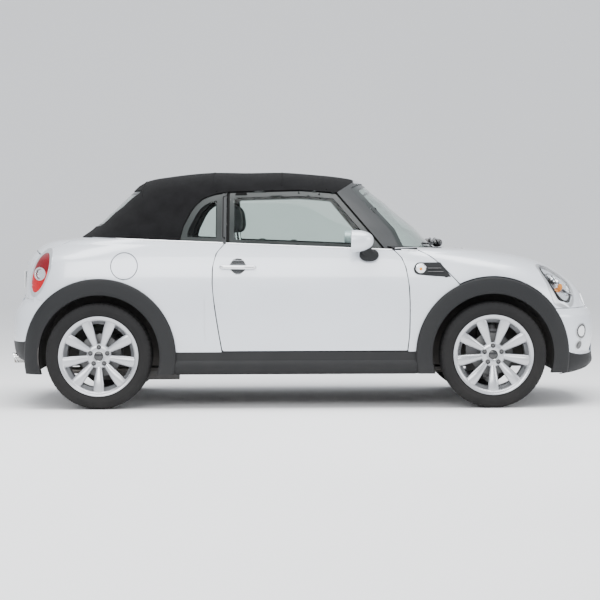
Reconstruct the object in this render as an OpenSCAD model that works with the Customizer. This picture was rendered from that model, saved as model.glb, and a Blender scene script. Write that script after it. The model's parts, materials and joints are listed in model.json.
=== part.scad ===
// Small two-door convertible with its fabric roof up.
// Millimetres. +X is the front, +Y the car's left side, +Z up. The origin is on the ground,
// at the middle of the overall length and width.

/* [Overall] */
// Distance from the front axle to the rear axle
wheelbase = 2400; // [2300:10:2500]
// Middle of the wheelbase, from the middle of the overall length
axle_mid = -47; // [-80:1:0]
// Distance between the middles of the left and right tyres
track = 1460; // [1400:5:1500]
// Half the width of the painted body
body_half = 815; // [780:1:850]
// Height of the waistline at the origin
belt_z = 984; // [960:1:1010]
// Fall of the waistline towards the front, per millimetre
belt_slope = 0.043; // [0.02:0.001:0.06]
// Gap between a moving panel and what surrounds it
shut_gap = 7; // [5:0.5:9]
// Gap between pieces that are fastened together
seat_gap = 0.5; // [0.3:0.1:0.8]

/* [Wheels] */
// Radius of the tyre
tyre_r = 323; // [310:1:330]
// Width of the tyre
tyre_w = 205; // [185:5:225]
// Radius of the rim's outer lip
rim_r = 243; // [235:1:250]
// Number of spokes
spokes = 9; // [5:1:12]
// Radius of the circle of wheel bolts
bolt_circle_r = 54; // [48:1:60]
// Radius of the brake disc
disc_r = 130; // [110:5:135]
// Radius of the stub axle that the hub turns on
stub_r = 20; // [16:1:24]
// Radial running clearance on pins and stub axles
run_clear = 0.08; // [0.03:0.01:0.1]
// Distance from the steering pin to the middle of the tyre
pin_offset = 30; // [10:5:45]
// Radius of the steering pins
pin_r = 9; // [7:0.5:12]
// Largest steering angle of the front wheels
steer_max = 32; // [20:1:35]

/* [Arches and sills] */
// Radius of the wheel arch opening
arch_r = 371; // [360:1:380]
// Width of the plastic arch trim, seen from the side
arch_trim_w = 100; // [80:1:110]
// Half the width of the car over the arch trims
trim_half = 841; // [835:1:860]
// Thickness of the wheel housings
housing_t = 6; // [4:1:10]
// Height of the inner edge of the doors' bottom
sill_top = 352; // [330:2:370]
// Height of the sills' lower edge
sill_low = 208; // [195:1:220]

/* [Panels] */
// Thickness of a whole door
door_t = 90; // [70:1:110]
// Thickness of the door's outer part, which fills the opening to its edge
door_skin = 20; // [12:1:24]
// Thickness of the side walls behind the doors
quarter_t = 90; // [70:1:110]
// Thickness of the front wings
wing_t = 60; // [40:1:80]
// Thickness of the bonnet
bonnet_t = 26; // [18:1:36]
// Thickness of the tailgate
tailgate_t = 45; // [35:1:60]
// Thickness of the bumper covers
bumper_t = 34; // [20:1:45]
// Thickness of the folding roof's fabric and padding
fabric_t = 22; // [14:1:30]
// Thickness of the window glass
glass_t = 5; // [4:0.5:6]
// How far the window glass sits inside the roof's outer face
glass_inset = 6; // [4:0.5:10]
// Half the width of the tailgate
tailgate_half = 545; // [500:5:560]

/* [Cabin] */
// Height of the cabin floor's upper face
floor_z = 225; // [215:1:240]
// Radius of the steering wheel, to the middle of its rim
steering_r = 178; // [165:1:190]
// Distance of the driver's place from the middle of the car
driver_y = 340; // [320:5:360]

/* [Hidden] */
$fn = 48;

front_x = axle_mid + wheelbase / 2;     // front axle
rear_x = axle_mid - wheelbase / 2;      // rear axle
hub_y = track / 2;
trim_r = arch_r + arch_trim_w;
nose_x = 1850;
tail_x = -1850;
arch_in = 420;                  // inner face of the wheel housings, from the middle
arch_out = 771;                 // inner face of the arch trims
pin_y = hub_y - pin_offset;     // steering pins
hinge_x = 646;                  // door hinges
bonnet_hinge = [695, 972];      // x and z of the bonnet's hinge line
lamp_at = [1555, 583, 750];     // middle of a headlight's lens
lamp_r = 113;
lamp_lift = atan2(lamp_at[0] - bonnet_hinge[0], bonnet_hinge[1] - lamp_at[2]);
flap_at = [-1091, 870];         // x and z of the fuel flap's middle
flap_r = 79;
bumper_top_front = 600;
bumper_top_rear = 664;
gate_low = 672;                 // tailgate's lower edge
gate_hinge = [-1775, 670];        // x and z of the tailgate's hinge line
gate_r = 303;                   // and the reach of its upper edge from there
body_grey = [0.86, 0.87, 0.89];
plastic = [0.14, 0.14, 0.15];
steel_grey = [0.35, 0.36, 0.38];

// ---------- smooth curves through a few points ----------
function clamp(v, lo, hi) = min(max(v, lo), hi);
function span(t, v, i = 0) = (i >= len(t) - 2 || v < t[i + 1][0]) ? i : span(t, v, i + 1);
function rise(t, i) = (t[i + 1][1] - t[i][1]) / (t[i + 1][0] - t[i][0]);
function tangent(t, i) =
    i == 0 ? rise(t, 0) :
    i == len(t) - 1 ? rise(t, i - 1) :
    rise(t, i - 1) * rise(t, i) <= 0 ? 0 :
    2 * rise(t, i - 1) * rise(t, i) / (rise(t, i - 1) + rise(t, i));
// Monotone cubic through the table's points, held level beyond its ends
function curve(t, v) =
    let (i = span(t, v), h = t[i + 1][0] - t[i][0], s = clamp((v - t[i][0]) / h, 0, 1),
         a = tangent(t, i) * h, b = tangent(t, i + 1) * h)
    t[i][1] * (2 * s * s * s - 3 * s * s + 1) + a * (s * s * s - 2 * s * s + s)
    + t[i + 1][1] * (3 * s * s - 2 * s * s * s) + b * (s * s * s - s * s);
// Height at which an end profile (side 1 front, -1 rear) passes station x, between a
// height inside the profile and one outside it
function reach(t, x, side, inside, outside, n = 16) =
    n == 0 ? (inside + outside) / 2 :
    let (mid = (inside + outside) / 2)
    side * (curve(t, mid) - x) > 0 ? reach(t, x, side, mid, outside, n - 1)
                                   : reach(t, x, side, inside, mid, n - 1);
// Plan outline from full width (u = 0) to nothing (u = 1)
function taper(u, square) = pow(1 - pow(clamp(u, 0, 1), square), 1 / 2.2);

// ---------- the painted body's outer surface ----------
// Added half width against height
side_table = [[180, -70], [230, -28], [300, -10], [450, -2], [600, 0], [700, -2], [780, -7],
    [850, -18], [900, -30], [950, -45], [1000, -63], [1045, -80]];
// The nose's x on the centreline, against height
nose_table = [[180, 1640], [200, 1760], [225, 1820], [262, 1846], [295, 1841], [325, 1828],
    [365, 1838], [430, 1848], [500, nose_x], [545, 1846], [572, 1830], [592, 1808],
    [620, 1795], [678, 1771], [741, 1722], [809, 1634], [866, 1536], [910, 1411],
    [935, 1288], [954, 1163], [967, 977], [975, 800]];
// The tail's x on the centreline, against height
tail_table = [[180, -1480], [250, -1640], [275, -1780], [300, -1825], [350, -1842],
    [440, tail_x], [530, -1849], [590, -1832], [640, -1795], [664, -1772], [740, -1768],
    [820, -1763], [880, -1751], [930, -1730], [960, -1708], [985, -1682], [1002, -1655],
    [1018, -1614], [1028, -1562], [1034, -1510], [1040, -1458], [1046, -1406], [1052, -1340]];
// Squareness of the plan outline's corners, against height
nose_square = [[560, 10], [640, 8], [750, 8], [850, 7.5], [900, 6], [940, 4.5]];
tail_square = [[640, 9], [900, 9], [960, 6], [1000, 4]];
nose_from = 250;                // the plan outline's curve to the nose starts here
tail_from = -600;               // and to the tail here
function body_y(x, z) =
    (body_half + curve(side_table, z))
    * taper((x - nose_from) / (curve(nose_table, z) - nose_from), curve(nose_square, z))
    * taper((x - tail_from) / (curve(tail_table, z) - tail_from), curve(tail_square, z));
function belt(x) = belt_z - belt_slope * x;
function body_low(x) =
    x > 1500 ? reach(nose_table, x, 1, 430, 180) :
    x < -1480 ? reach(tail_table, x, -1, 440, 180) : 180;
function body_high(x) =
    x > 820 ? reach(nose_table, x, 1, 430, 975) :
    x < -1340 ? reach(tail_table, x, -1, 450, 1052) : belt(x) + 20;
body_stations = [
    -1849, -1843, -1826, -1800, -1778, -1771, -1767, -1763, -1755, -1738, -1705, -1655,
    -1590, -1500, -1400, -1300, -1100, -900, -600, -300, 0, 300, 550, 780,
    for (a = [0:7.5:90]) 900 + 948 * sin(a)];

// ---------- the cabin's outer surface: glass, windscreen and roof ----------
roof_width = [[900, 783], [950, 765], [1000, 748], [1100, 712], [1200, 668], [1290, 622],
    [1335, 592], [1370, 556], [1400, 505], [1425, 435], [1442, 340], [1452, 220], [1458, 0]];
screen_table = [[900, 940], [950, 880], [1000, 818], [1040, 775], [1096, 723], [1141, 671],
    [1181, 619], [1226, 567], [1272, 515], [1311, 463], [1357, 412], [1392, 360],
    [1412, 300], [1422, 245], [1436, 152], [1448, 10], [1455, -160], [1458, -390]];
back_table = [[900, -1590], [950, -1520], [1040, -1425], [1092, -1355], [1137, -1303],
    [1189, -1251], [1234, -1199], [1286, -1147], [1331, -1095], [1376, -1043],
    [1404, -991], [1418, -939], [1428, -880], [1440, -800], [1450, -690], [1456, -560],
    [1458, -420]];
cabin_square = [[1000, 6], [1300, 5], [1400, 4], [1450, 3]];
roof_from = -400;               // highest station of the roof, where both plan curves start
function cabin_y(x, z) =
    curve(roof_width, z)
    * taper((x - roof_from) / (curve(screen_table, z) - roof_from), curve(cabin_square, z))
    * taper((x - roof_from) / (curve(back_table, z) - roof_from), curve(cabin_square, z));
function cabin_high(x) =
    x > roof_from ? reach(screen_table, x, 1, 900, 1458) : reach(back_table, x, -1, 900, 1458);
cabin_stations = [
    for (a = [-90:10:-10]) roof_from + 1188 * sin(a), roof_from,
    for (a = [10:8:90]) roof_from + 1338 * sin(a)];

// ---------- lofts ----------
// Closed solid through rings of points, with a flat cap at each end
module loft(rings) {
    m = len(rings);
    n = len(rings[0]);
    polyhedron(
        points = [for (r = rings) each r],
        faces = [
            for (i = [0:m - 2]) for (j = [0:n - 1]) each
                [[i * n + j, i * n + (j + 1) % n, (i + 1) * n + j],
                 [i * n + (j + 1) % n, (i + 1) * n + (j + 1) % n, (i + 1) * n + j]],
            for (j = [1:n - 2]) [0, j + 1, j],
            for (j = [1:n - 2]) [(m - 1) * n, (m - 1) * n + j, (m - 1) * n + j + 1]
        ]);
}
function level(lo, hi, j, n) = lo + (hi - lo) * (1 - cos(180 * j / n)) / 2;
// Ring at station x: up the right side and down the left, between two heights
function ring(x, lo, hi, y, n) = [
    for (j = [0:n]) let (z = level(lo, hi, j, n)) [x, -y(x, z) - 1, z],
    for (j = [n:-1:0]) let (z = level(lo, hi, j, n)) [x, y(x, z) + 1, z]];
module body_solid() {
    loft([for (x = body_stations)
        ring(x, body_low(x), body_high(x), function(a, b) body_y(a, b), 20)]);
}
module cabin_solid() {
    loft([for (x = cabin_stations)
        ring(x, 900, cabin_high(x), function(a, b) cabin_y(a, b), 18)]);
}
// The same solids drawn in by t all round
module body_inner(t) {
    translate([0, 0, 620]) scale([1 - t / 1850, 1 - t / body_half, 1 - t / 360])
        translate([0, 0, -620]) body_solid();
}
module cabin_inner(t) {
    translate([-350, 0, 850]) scale([1 - t / 1150, 1 - t / 690, 1 - t / 608])
        translate([350, 0, -850]) cabin_solid();
}
module body_shell(t) { difference() { body_solid(); body_inner(t); } }
module cabin_shell(a, b) { difference() { cabin_inner(a); cabin_inner(b); } }

// ---------- helpers ----------
// Solid through the whole width of the car, from an outline in side view
module side_view(y0 = -1000, y1 = 1000) {
    translate([0, y1, 0]) rotate([90, 0, 0]) linear_extrude(height = y1 - y0) children();
}
// One mesh for a panel cut from a curved loft
module mesh() { resize([0, 0, 0]) children(); }
module both() { children(); mirror([0, 1, 0]) children(); }
// The child is modelled on the right side; s = 1 puts it on the left
module on_side(s) { if (s < 0) children(); else mirror([0, 1, 0]) children(); }
// Cylinder along Y from y0 to y1
module rod_y(x, z, r, y0, y1, $fn = 64) { translate([x, y0, z]) rotate([-90, 0, 0]) cylinder(r = r, h = y1 - y0); }
module block(a, b) { translate(a) cube(b - a); }
module below_belt(drop = 0) {
    polygon([[-3000, belt(-3000) - drop], [3000, belt(3000) - drop], [3000, 0], [-3000, 0]]);
}
module arch_circle(x, r, $fn = 96) { translate([x, tyre_r]) circle(r = r); }

// ---------- side-view outlines ----------
// z and x along the door's front and rear edges
door_front = [[960, 550], [913, 596], [849, 622], [733, 641], [617, 645], [466, 642],
    [sill_top, 630]];
door_rear = [[1005, -475], [941, -527], [854, -549], [761, -551], [622, -537], [483, -516],
    [sill_top, -493]];
// Door outline; the rear edge can be drawn in on its own
module door_outline(rear_in = 0) {
    polygon([
        for (p = door_front) [p[1], p[0]],
        for (i = [6:-1:0]) [door_rear[i][1] + rear_in, door_rear[i][0]],
        [door_rear[0][1] + rear_in, 1200], [door_front[0][1], 1200]]);
}
module door_opening() { offset(delta = shut_gap) door_outline(); }
// z and x along the bonnet's side edge, from the arch up to the windscreen
bonnet_line = [[600, 1060], [752, 956], [870, 843], [922, 780], [962, 700]];
module bonnet_outline() {
    polygon([[2000, bumper_top_front], [1060, bumper_top_front],
        for (p = bonnet_line) [p[1], p[0]], [700, 1000], [2000, 1000]]);
}
// Upper edge of the black lower trim, at the front and at the rear
chin = [[1560, 420], [1594, 372], [1641, 326], [1716, 312], [1900, 308]];
valance = [[-1592, 579], [-1625, 558], [-1665, 451], [-1727, 405], [-1900, 398]];
module chin_outline(d = 0) {
    polygon([for (p = chin) [p[0], p[1] + d], [1900, 100], [1400, 100], [1400, 420 + d]]);
}
module valance_outline(d = 0) {
    polygon([for (p = valance) [p[0], p[1] + d], [-1900, 100], [-1400, 100], [-1400, 579 + d]]);
}
// Lower edge of the fabric over the side windows, and the windscreen frame's edges
window_top = [[-738, 1110], [-691, 1205], [-620, 1282], [-537, 1313], [-454, 1325],
    [-18, 1335]];
pillar_rear = [[212, 1318], [497, 975]];
screen_edge = [[600, 950], [545, 1075], [300, 1347], [392, 1390], [420, 1600]];
header_x = 315;
// Plan outline of the windscreen's foot, grown forwards and sideways
module foot_plan(grow) {
    polygon([for (s = [-1, 1]) for (k = [0:16]) let (
            u = s < 0 ? sin(90 * k / 16) : cos(90 * k / 16),
            x = roof_from + 1250 * u)
        [roof_from + (1250 + grow) * u, s * cabin_y(x, 972) * (1 + grow / 757)]]);
}
module foot(grow) { translate([0, 0, 800]) linear_extrude(height = 400) foot_plan(grow); }

// ---------- fixed structure ----------
module floor_pan() { color("dimgray") {
    difference() {
        union() {
            block([-1000, -691.7, floor_z - 20], [950, 691.7, floor_z]);
            block([-555, -110, floor_z], [640, 110, floor_z + 100]);
            block([-1020, -419.6, floor_z - 20], [-1000, 419.6, 460]);
            block([-1690, -419.6, 440], [-1000, 419.6, 460]);
        }
        both() block([rear_x - 400, arch_in - 0.4, 100], [rear_x + 400, 900, 400]);
        both() block([front_x - 400, arch_in - 0.4, 100], [front_x + 400, 900, 400]);
        block([-535, -90, 100], [620, 90, floor_z + 80]);
    }
} }
module sills() { color(plastic) both()
    translate([rear_x + trim_r + seat_gap, 0, 0]) rotate([90, 0, 90])
        linear_extrude(height = wheelbase - 2 * trim_r - 2 * seat_gap)
            polygon([[-692, floor_z - 12], [-790, sill_low], [-812, sill_low + 22],
                [-816, sill_low + 90], [-812, sill_top - shut_gap], [-692, sill_top - shut_gap]]);
}
module front_bulkhead() { color(steel_grey) mesh() difference() {
    intersection() {
        body_inner(wing_t + seat_gap);
        block([700, -760, floor_z + 0.4], [722, 760, 890]);
    }
    both() block([690, arch_in - 0.4, 0], [1000, 900, 600]);
} }
module cowl() { color(plastic) mesh() difference() {
    intersection() {
        body_shell(bonnet_t);
        foot(54);
        side_view() polygon([[500, 880], [500, belt(500)], [700, belt(700)], [790, 1000],
            [1000, 1000], [1000, 880]]);
    }
    foot(-90);
    side_view() door_opening();
} }
module housing(x, s) { color([0.1, 0.1, 0.11]) on_side(s)
    difference() {
        rod_y(x, tyre_r, arch_r + housing_t, -arch_out + 0.4, -arch_in, $fn = 72);
        rod_y(x, tyre_r, arch_r, -arch_out - 1, -arch_in - housing_t, $fn = 72);
        block([x - 500, -900, -200], [x + 500, -300, sill_low + 32]);
        block([x - 120, -500, 100], [x + 120, -300, 540]);
    }
}
// Beams behind the bumpers; the front one carries the headlights
module carriers() { color(steel_grey) {
    block([1440, -600, 592], [1600, 600, 619.6]);
    block([1560, -600, 500], [1600, 600, 592]);
    both() block([1300, -415, 592], [1440, -380, 619.6]);
    block([-1690, -520, 460.4], [-1650, 520, 600]);
} }
module front_bumper() { color(body_grey) mesh() difference() {
    intersection() {
        body_shell(bumper_t);
        side_view() difference() {
            translate([front_x, 150]) square([900, bumper_top_front - 150 - shut_gap]);
            arch_circle(front_x, trim_r + seat_gap);
            chin_outline(seat_gap);
        }
    }
    block([1650, -330, 360], [1900, 330, 520]);
} }
module rear_bumper() { color(body_grey) mesh()
    intersection() {
        body_shell(bumper_t);
        side_view() difference() {
            translate([rear_x - 900, 150]) square([900, bumper_top_rear - 150]);
            arch_circle(rear_x, trim_r + seat_gap);
            valance_outline(seat_gap);
        }
    }
}
// Black chin under the front bumper and valance under the rear one
module lower_trims() { color(plastic) mesh() difference() {
    intersection() {
        body_shell(bumper_t);
        side_view() difference() {
            union() {
                chin_outline();
                intersection() { valance_outline(); translate([-1900, 276]) square([500, 400]); }
            }
            arch_circle(front_x, trim_r + seat_gap);
            arch_circle(rear_x, trim_r + seat_gap);
        }
    }
    block([1400, -900, 100], [1560, 900, 240]);
    translate([-1900, -385, 290]) rotate([0, 90, 0]) cylinder(r = 48, h = 400);
    block([-1700, -700, 200], [-1400, 700, 330]);
} }
module quarter_panels() { color(body_grey) mesh() difference() {
    intersection() {
        body_shell(quarter_t);
        side_view() difference() {
            intersection() {
                below_belt();
                polygon([[-1900, bumper_top_rear + seat_gap], [rear_x, bumper_top_rear + seat_gap],
                    [rear_x, sill_top - shut_gap + seat_gap], [0, sill_top - shut_gap + seat_gap],
                    [0, 1200], [-1900, 1200]]);
            }
            door_opening();
            arch_circle(rear_x, trim_r + seat_gap);
        }
    }
    rod_y(gate_hinge[0], gate_hinge[1], gate_r + shut_gap, -tailgate_half - shut_gap, tailgate_half + shut_gap);
    block([-2000, -tailgate_half - seat_gap, 0], [-1200, tailgate_half + seat_gap, 1200]);
    block([-1250, -660, 0], [0, 660, 1200]);
    tail_lamp_hole(seat_gap);
    flap_disc(flap_r + shut_gap, 60);
} }
module front_wings() { color(body_grey) mesh() difference() {
    intersection() {
        body_shell(wing_t);
        side_view() difference() {
            intersection() {
                below_belt();
                translate([500, sill_top - shut_gap + seat_gap]) square([650, 700]);
            }
            offset(delta = shut_gap) bonnet_outline();
            door_opening();
            arch_circle(front_x, trim_r + seat_gap);
        }
    }
    foot(54 + seat_gap);
} }
module windscreen_frame() { color([0.3, 0.3, 0.32]) mesh() difference() {
    intersection() {
        cabin_shell(0, 42);
        side_view() polygon([[header_x + seat_gap, 1600], [header_x + seat_gap, 1385],
            for (p = pillar_rear) p, [510, 940], for (p = screen_edge) p]);
    }
    translate([0, 0, seat_gap]) body_solid();
    side_view(-1000, 1000) translate([0, seat_gap]) below_belt();
} }
module windscreen() { color([0.6, 0.7, 0.68, 0.5]) mesh() difference() {
    intersection() {
        cabin_shell(3, 3 + glass_t);
        side_view() polygon([for (p = screen_edge) p + [0.7, 0], [1200, 1600], [1200, 930]]);
    }
    translate([0, 0, seat_gap]) body_solid();
} }
module soft_top() { color([0.09, 0.09, 0.1]) mesh() difference() {
    intersection() {
        cabin_shell(0, fabric_t);
        side_view() difference() {
            polygon([[-1700, belt(-1700) + seat_gap], [-1700, 1600], [header_x, 1600],
                [header_x, 1385.5], [211, 1319], [211, 1200], [211, belt(211)]]);
            polygon([[-790, 900], for (p = window_top) p, [211, 1319], [600, 900]]);
        }
    }
    translate([0, 0, seat_gap]) body_solid();
    block([-1700, -430, 1110], [-1000, 430, 1372]);
} }
module rear_window() { color([0.5, 0.6, 0.58, 0.5]) mesh()
    intersection() {
        cabin_shell(4, 4 + glass_t);
        block([-1700, -430 + seat_gap, 1110 + seat_gap], [-1000, 430 - seat_gap, 1372 - seat_gap]);
    }
}
module quarter_windows() { color([0.6, 0.7, 0.68, 0.5]) mesh()
    intersection() {
        cabin_shell(glass_inset, glass_inset + glass_t);
        side_view() polygon([[-496, belt(-496) + seat_gap], [-757, belt(-757) + seat_gap],
            [-733, 1110], [-686, 1202], [-617, 1277], [-535, 1307], [-496, 1313]]);
    }
}
module rear_deck() { color(body_grey) mesh() difference() {
    intersection() {
        body_shell(26);
        block([-1750, -tailgate_half, 930], [-1345, tailgate_half, 1200]);
    }
    rod_y(gate_hinge[0], gate_hinge[1], gate_r + shut_gap, -600, 600);
} }
// Strip in plan that follows the body's side, from out beyond it to in behind it
trim_x = [-1750, -1680, -1620, -1570, -1520, -1470, -1400, -1300, -1100, -700, 700, 1200,
    1300, 1380, 1450, 1500, 1550, 1600, 1650];
module trim_plan(out, in) {
    n = len(trim_x) - 1;
    polygon([for (x = trim_x) [x, -body_y(x, 450) - out],
        for (i = [n:-1:0]) [trim_x[i], -body_y(trim_x[i], 450) + in]]);
}
module wheel_arch_trims() { color(plastic) both() for (x = [front_x, rear_x])
    intersection() {
        difference() {
            rod_y(x, tyre_r, trim_r, -900, -600, $fn = 96);
            rod_y(x, tyre_r, arch_r, -901, -599, $fn = 96);
            rod_y(x, tyre_r, arch_r + housing_t + 0.4, 0.3 - arch_out, -599);
            block([x - 600, -1000, -200], [x + 600, -500, sill_low + 2]);
        }
        linear_extrude(height = 1000) trim_plan(trim_half - body_half, body_half - arch_out);
    }
}
// A headlight's round body, in line with the way the bonnet lifts off it
module lamp_stub(r, low) {
    translate([lamp_at[0], -lamp_at[1], lamp_at[2]]) rotate([0, 90 - lamp_lift, 0])
        translate([0, 0, -low]) cylinder(r = r, h = low + 200, $fn = 40);
}
module headlights() { color([0.9, 0.92, 0.95]) mesh() difference() {
    intersection() {
        body_solid();
        both() lamp_stub(lamp_r, 200);
        block([1300, -900, 620], [1900, 900, 1000]);
    }
    rod_y(front_x, tyre_r, trim_r + 1, -900, 900);
} }
module tail_lamp_outline(d) {
    translate([-1611, 828]) rotate(71) scale([134 + d, 50 + d]) circle(r = 1, $fn = 40);
}
module tail_lamp_hole(d) {
    side_view(-1000, -tailgate_half - shut_gap) tail_lamp_outline(d);
    side_view(tailgate_half + shut_gap, 1000) tail_lamp_outline(d);
}
module tail_lights() { color([0.75, 0.08, 0.08]) mesh()
    intersection() { body_shell(quarter_t - 30); tail_lamp_hole(0); }
}
module grille() { color([0.08, 0.08, 0.08]) mesh()
    intersection() {
        difference() { body_inner(12); body_inner(30); }
        block([1650, -330 + seat_gap, 360 + seat_gap], [1900, 330 - seat_gap, 520 - seat_gap]);
    }
}
module exhaust() { color([0.6, 0.6, 0.62]) {
    translate([-1560, 0, floor_z - 42.5]) rotate([0, 90, 0]) cylinder(r = 22, h = 2500);
    rod_y(-1545, 275, 84, -410, 330);
    translate([-1815, -385, 290]) rotate([0, 90, 0]) difference() {
        cylinder(r = 31, h = 260);
        translate([0, 0, -1]) cylinder(r = 27, h = 120);
    }
    both() block([-1560, -250, 340], [-1530, -220, 439.6]);
} }
module engine() { color([0.4, 0.4, 0.42]) block([960, -290, 286], [1390, 290, 800]); }
module dashboard() { color([0.15, 0.15, 0.16]) {
    difference() {
        union() {
            block([470, -640, 700], [699.6, 640, 900]);
            block([640, -120, floor_z + 0.4], [699.6, 120, 700]);
            translate([300, driver_y, 850]) rotate([0, -65, 0])
                translate([0, 0, -260]) cylinder(r = 26, h = 238);
        }
        both() block([600, arch_in, 600], [760, 700, 640]);
    }
    translate([300, driver_y, 850]) rotate([0, -65, 0])
        translate([0, 0, -40]) cylinder(r = pin_r, h = 50);
} }
module front_seats() { color([0.2, 0.2, 0.21]) both() {
    block([-300, -580, floor_z + 0.4], [170, -180, floor_z + 60]);
    block([-330, -600, floor_z + 60], [190, -160, 470]);
    translate([-300, -600, 420]) rotate([0, -12, 0]) translate([-110, 0, 0]) cube([120, 440, 640]);
    translate([-300, -500, 420]) rotate([0, -12, 0]) translate([-80, 0, 640]) cube([80, 240, 180]);
} }
module rear_seat() { color([0.2, 0.2, 0.21]) {
    block([-900, -415, floor_z + 0.4], [-560, 415, 500]);
    difference() {
        translate([-900, -415, 460.4]) rotate([0, -10, 0]) translate([-60, 0, 0]) cube([100, 830, 500]);
        block([-1200, -500, 300], [-560, 500, 460.4]);
    }
} }
// An arm from the subframe out to a steering pin, at one height
module arm(z0, z1) {
    difference() {
        union() {
            block([front_x - 22, -pin_y, z0], [front_x + 22, -390, z1]);
            translate([front_x, -pin_y, z0]) cylinder(r = 22, h = z1 - z0);
        }
        translate([front_x, -pin_y, z0 - 1]) cylinder(r = pin_r + run_clear, h = z1 - z0 + 2);
    }
}
module front_subframe() { color(steel_grey) {
    block([900, -400, floor_z + 0.4], [1420, 400, 285.6]);
    both() {
        block([front_x - 60, -410, 146], [front_x + 60, -360, 500]);
        arm(146, 169.5);
        arm(476.5, 500);
        rod_y(front_x, tyre_r, 14, -596, -400);
        block([1400, -410, floor_z + 0.4], [1430, -380, 590]);
    }
} }
module rear_axle() { color(steel_grey) {
    rod_y(rear_x, tyre_r, 30, -620, 620);
    both() {
        rod_y(rear_x, tyre_r, 46, -665, -600);
        rod_y(rear_x, tyre_r, stub_r, -hub_y - 25, -600);
        block([rear_x - 30, -400, 150], [-780, -340, floor_z - 20.4]);
        block([rear_x - 30, -400, 150], [rear_x + 30, -340, tyre_r]);
    }
} }
// Each wiper: pivot's x and y, turn from straight across, length of arm and blade, and the
// height of the cowl under the pivot
wiper_set = [[848, 330, 182.5, 340, 970], [864, -60, 171.5, 430, 970.7]];
module wipers() { color([0.08, 0.08, 0.08]) for (w = wiper_set) translate([w[0], w[1], 0]) {
    translate([0, 0, w[4] + 0.3]) cylinder(r = 10, h = 987 - w[4]);
    rotate(w[2]) translate([-4, 0, 980]) cube([8, w[3], 8]);
} }

// ---------- doors ----------
module door_glass_outline(d = 0, drop = 0) {
    polygon([[-452 - d, belt(-452) - drop], [490.8 + d, belt(490.8) - drop], [490.8 + d, 969.9],
        [205.8 + d, 1312], [-18, 1329], [-452 - d, 1319]]);
}
module door(s) { color(body_grey) on_side(s) mesh() difference() {
    intersection() {
        union() {
            intersection() {
                body_shell(door_skin);
                side_view(-1000, 0) intersection() { door_outline(); below_belt(); }
            }
            intersection() {
                difference() { body_inner(door_skin - 8); body_inner(door_t); }
                side_view(-1000, 0) intersection() { door_outline(18); below_belt(); }
            }
        }
        block([-1000, -1000, 0], [1000, -660, 1200]);
    }
    intersection() {
        cabin_shell(glass_inset - 0.4, glass_inset + glass_t + 0.4);
        side_view(-1000, 0) door_glass_outline(0.4, 50);
    }
    // the inner edge swings rearwards as the door opens, so near the belt it stops short
    difference() {
        block([-560, -746, 880], [-440, -600, 1100]);
        side_view(-1000, 0) door_outline(14);
    }
} }
module door_glass(s) { color([0.6, 0.7, 0.68, 0.5]) on_side(s) mesh()
    intersection() {
        cabin_shell(glass_inset, glass_inset + glass_t);
        side_view(-1000, 0) door_glass_outline(0, 40);
    }
}
module mirror_unit(s) { color(body_grey) on_side(s) mesh() difference() {
    union() {
        hull() {
            translate([352, -868, 1016]) scale([72, 80, 66]) sphere(r = 1, $fn = 20);
            translate([330, -868, 1016]) scale([52, 84, 70]) sphere(r = 1, $fn = 20);
        }
        hull() {
            translate([385, -800, 965]) sphere(r = 22, $fn = 12);
            translate([425, -735, 915]) sphere(r = 34, $fn = 12);
            translate([350, -850, 985]) sphere(r = 20, $fn = 12);
        }
    }
    translate([0, -seat_gap, 0]) body_solid();
    block([200, -1000, 900], [292, -700, 1200]);
} }

// ---------- opening panels ----------
module bonnet() { color(body_grey) mesh() difference() {
    intersection() {
        body_shell(bonnet_t);
        side_view() difference() {
            bonnet_outline();
            arch_circle(front_x, trim_r + shut_gap);
        }
    }
    foot(60);
    both() lamp_stub(lamp_r + shut_gap, 260);
    block([1600, -306, 560], [1900, 306, 690]);
} }
module bonnet_grille() { color([0.08, 0.08, 0.08]) mesh() difference() {
    intersection() {
        difference() { body_inner(6); body_inner(24); }
        block([1600, -306 + seat_gap, bumper_top_front], [1900, 306 - seat_gap, 690 - seat_gap]);
    }
} }
module tailgate() { color(body_grey) mesh()
    intersection() {
        body_shell(tailgate_t);
        block([-2000, -tailgate_half, gate_low], [-1500, tailgate_half, 1000]);
        rod_y(gate_hinge[0], gate_hinge[1], gate_r, -600, 600);
    }
}
// Round cutter through the right side for the fuel flap
module flap_disc(r, deep) {
    translate([flap_at[0], -900, flap_at[1]]) rotate([-90, 0, 0]) cylinder(r = r, h = 100 + deep, $fn = 48);
}
module fuel_flap() { color(body_grey) mesh()
    intersection() { body_shell(7); flap_disc(flap_r, 60); }
}
module steering_wheel() { color([0.1, 0.1, 0.1])
    translate([300, driver_y, 850]) rotate([0, -65, 0]) difference() {
        union() {
            rotate_extrude() translate([steering_r, 0]) circle(r = 14);
            translate([0, 0, -20]) cylinder(r = 42, h = 40);
            for (a = [0, 90, 180]) rotate(a + 90) translate([0, -15, -6]) cube([steering_r, 30, 12]);
        }
        translate([0, 0, -21]) cylinder(r = pin_r + run_clear, h = 36);
    }
}

// ---------- wheels ----------
module knuckle(s) { color(steel_grey) on_side(s) {
    difference() {
        union() {
            block([front_x - 45, -668, 175], [front_x + 45, -640, 471]);
            block([front_x - 26, -pin_y - 14, 170], [front_x + 26, -640, 186]);
            block([front_x - 26, -pin_y - 14, 460], [front_x + 26, -640, 476]);
            block([front_x - 160, -720, 270], [front_x - 90, -645, 376]);
            block([front_x - 160, -668, 290], [front_x, -645, 356]);
        }
        rod_y(front_x, tyre_r, disc_r + 5, -hub_y + 20, -hub_y + 50);
    }
    rod_y(front_x, tyre_r, stub_r, -hub_y - 25, -650);
    translate([front_x, -pin_y, 141]) cylinder(r = pin_r, h = 35);
    translate([front_x, -pin_y, 470]) cylinder(r = pin_r, h = 35);
} }
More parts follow.
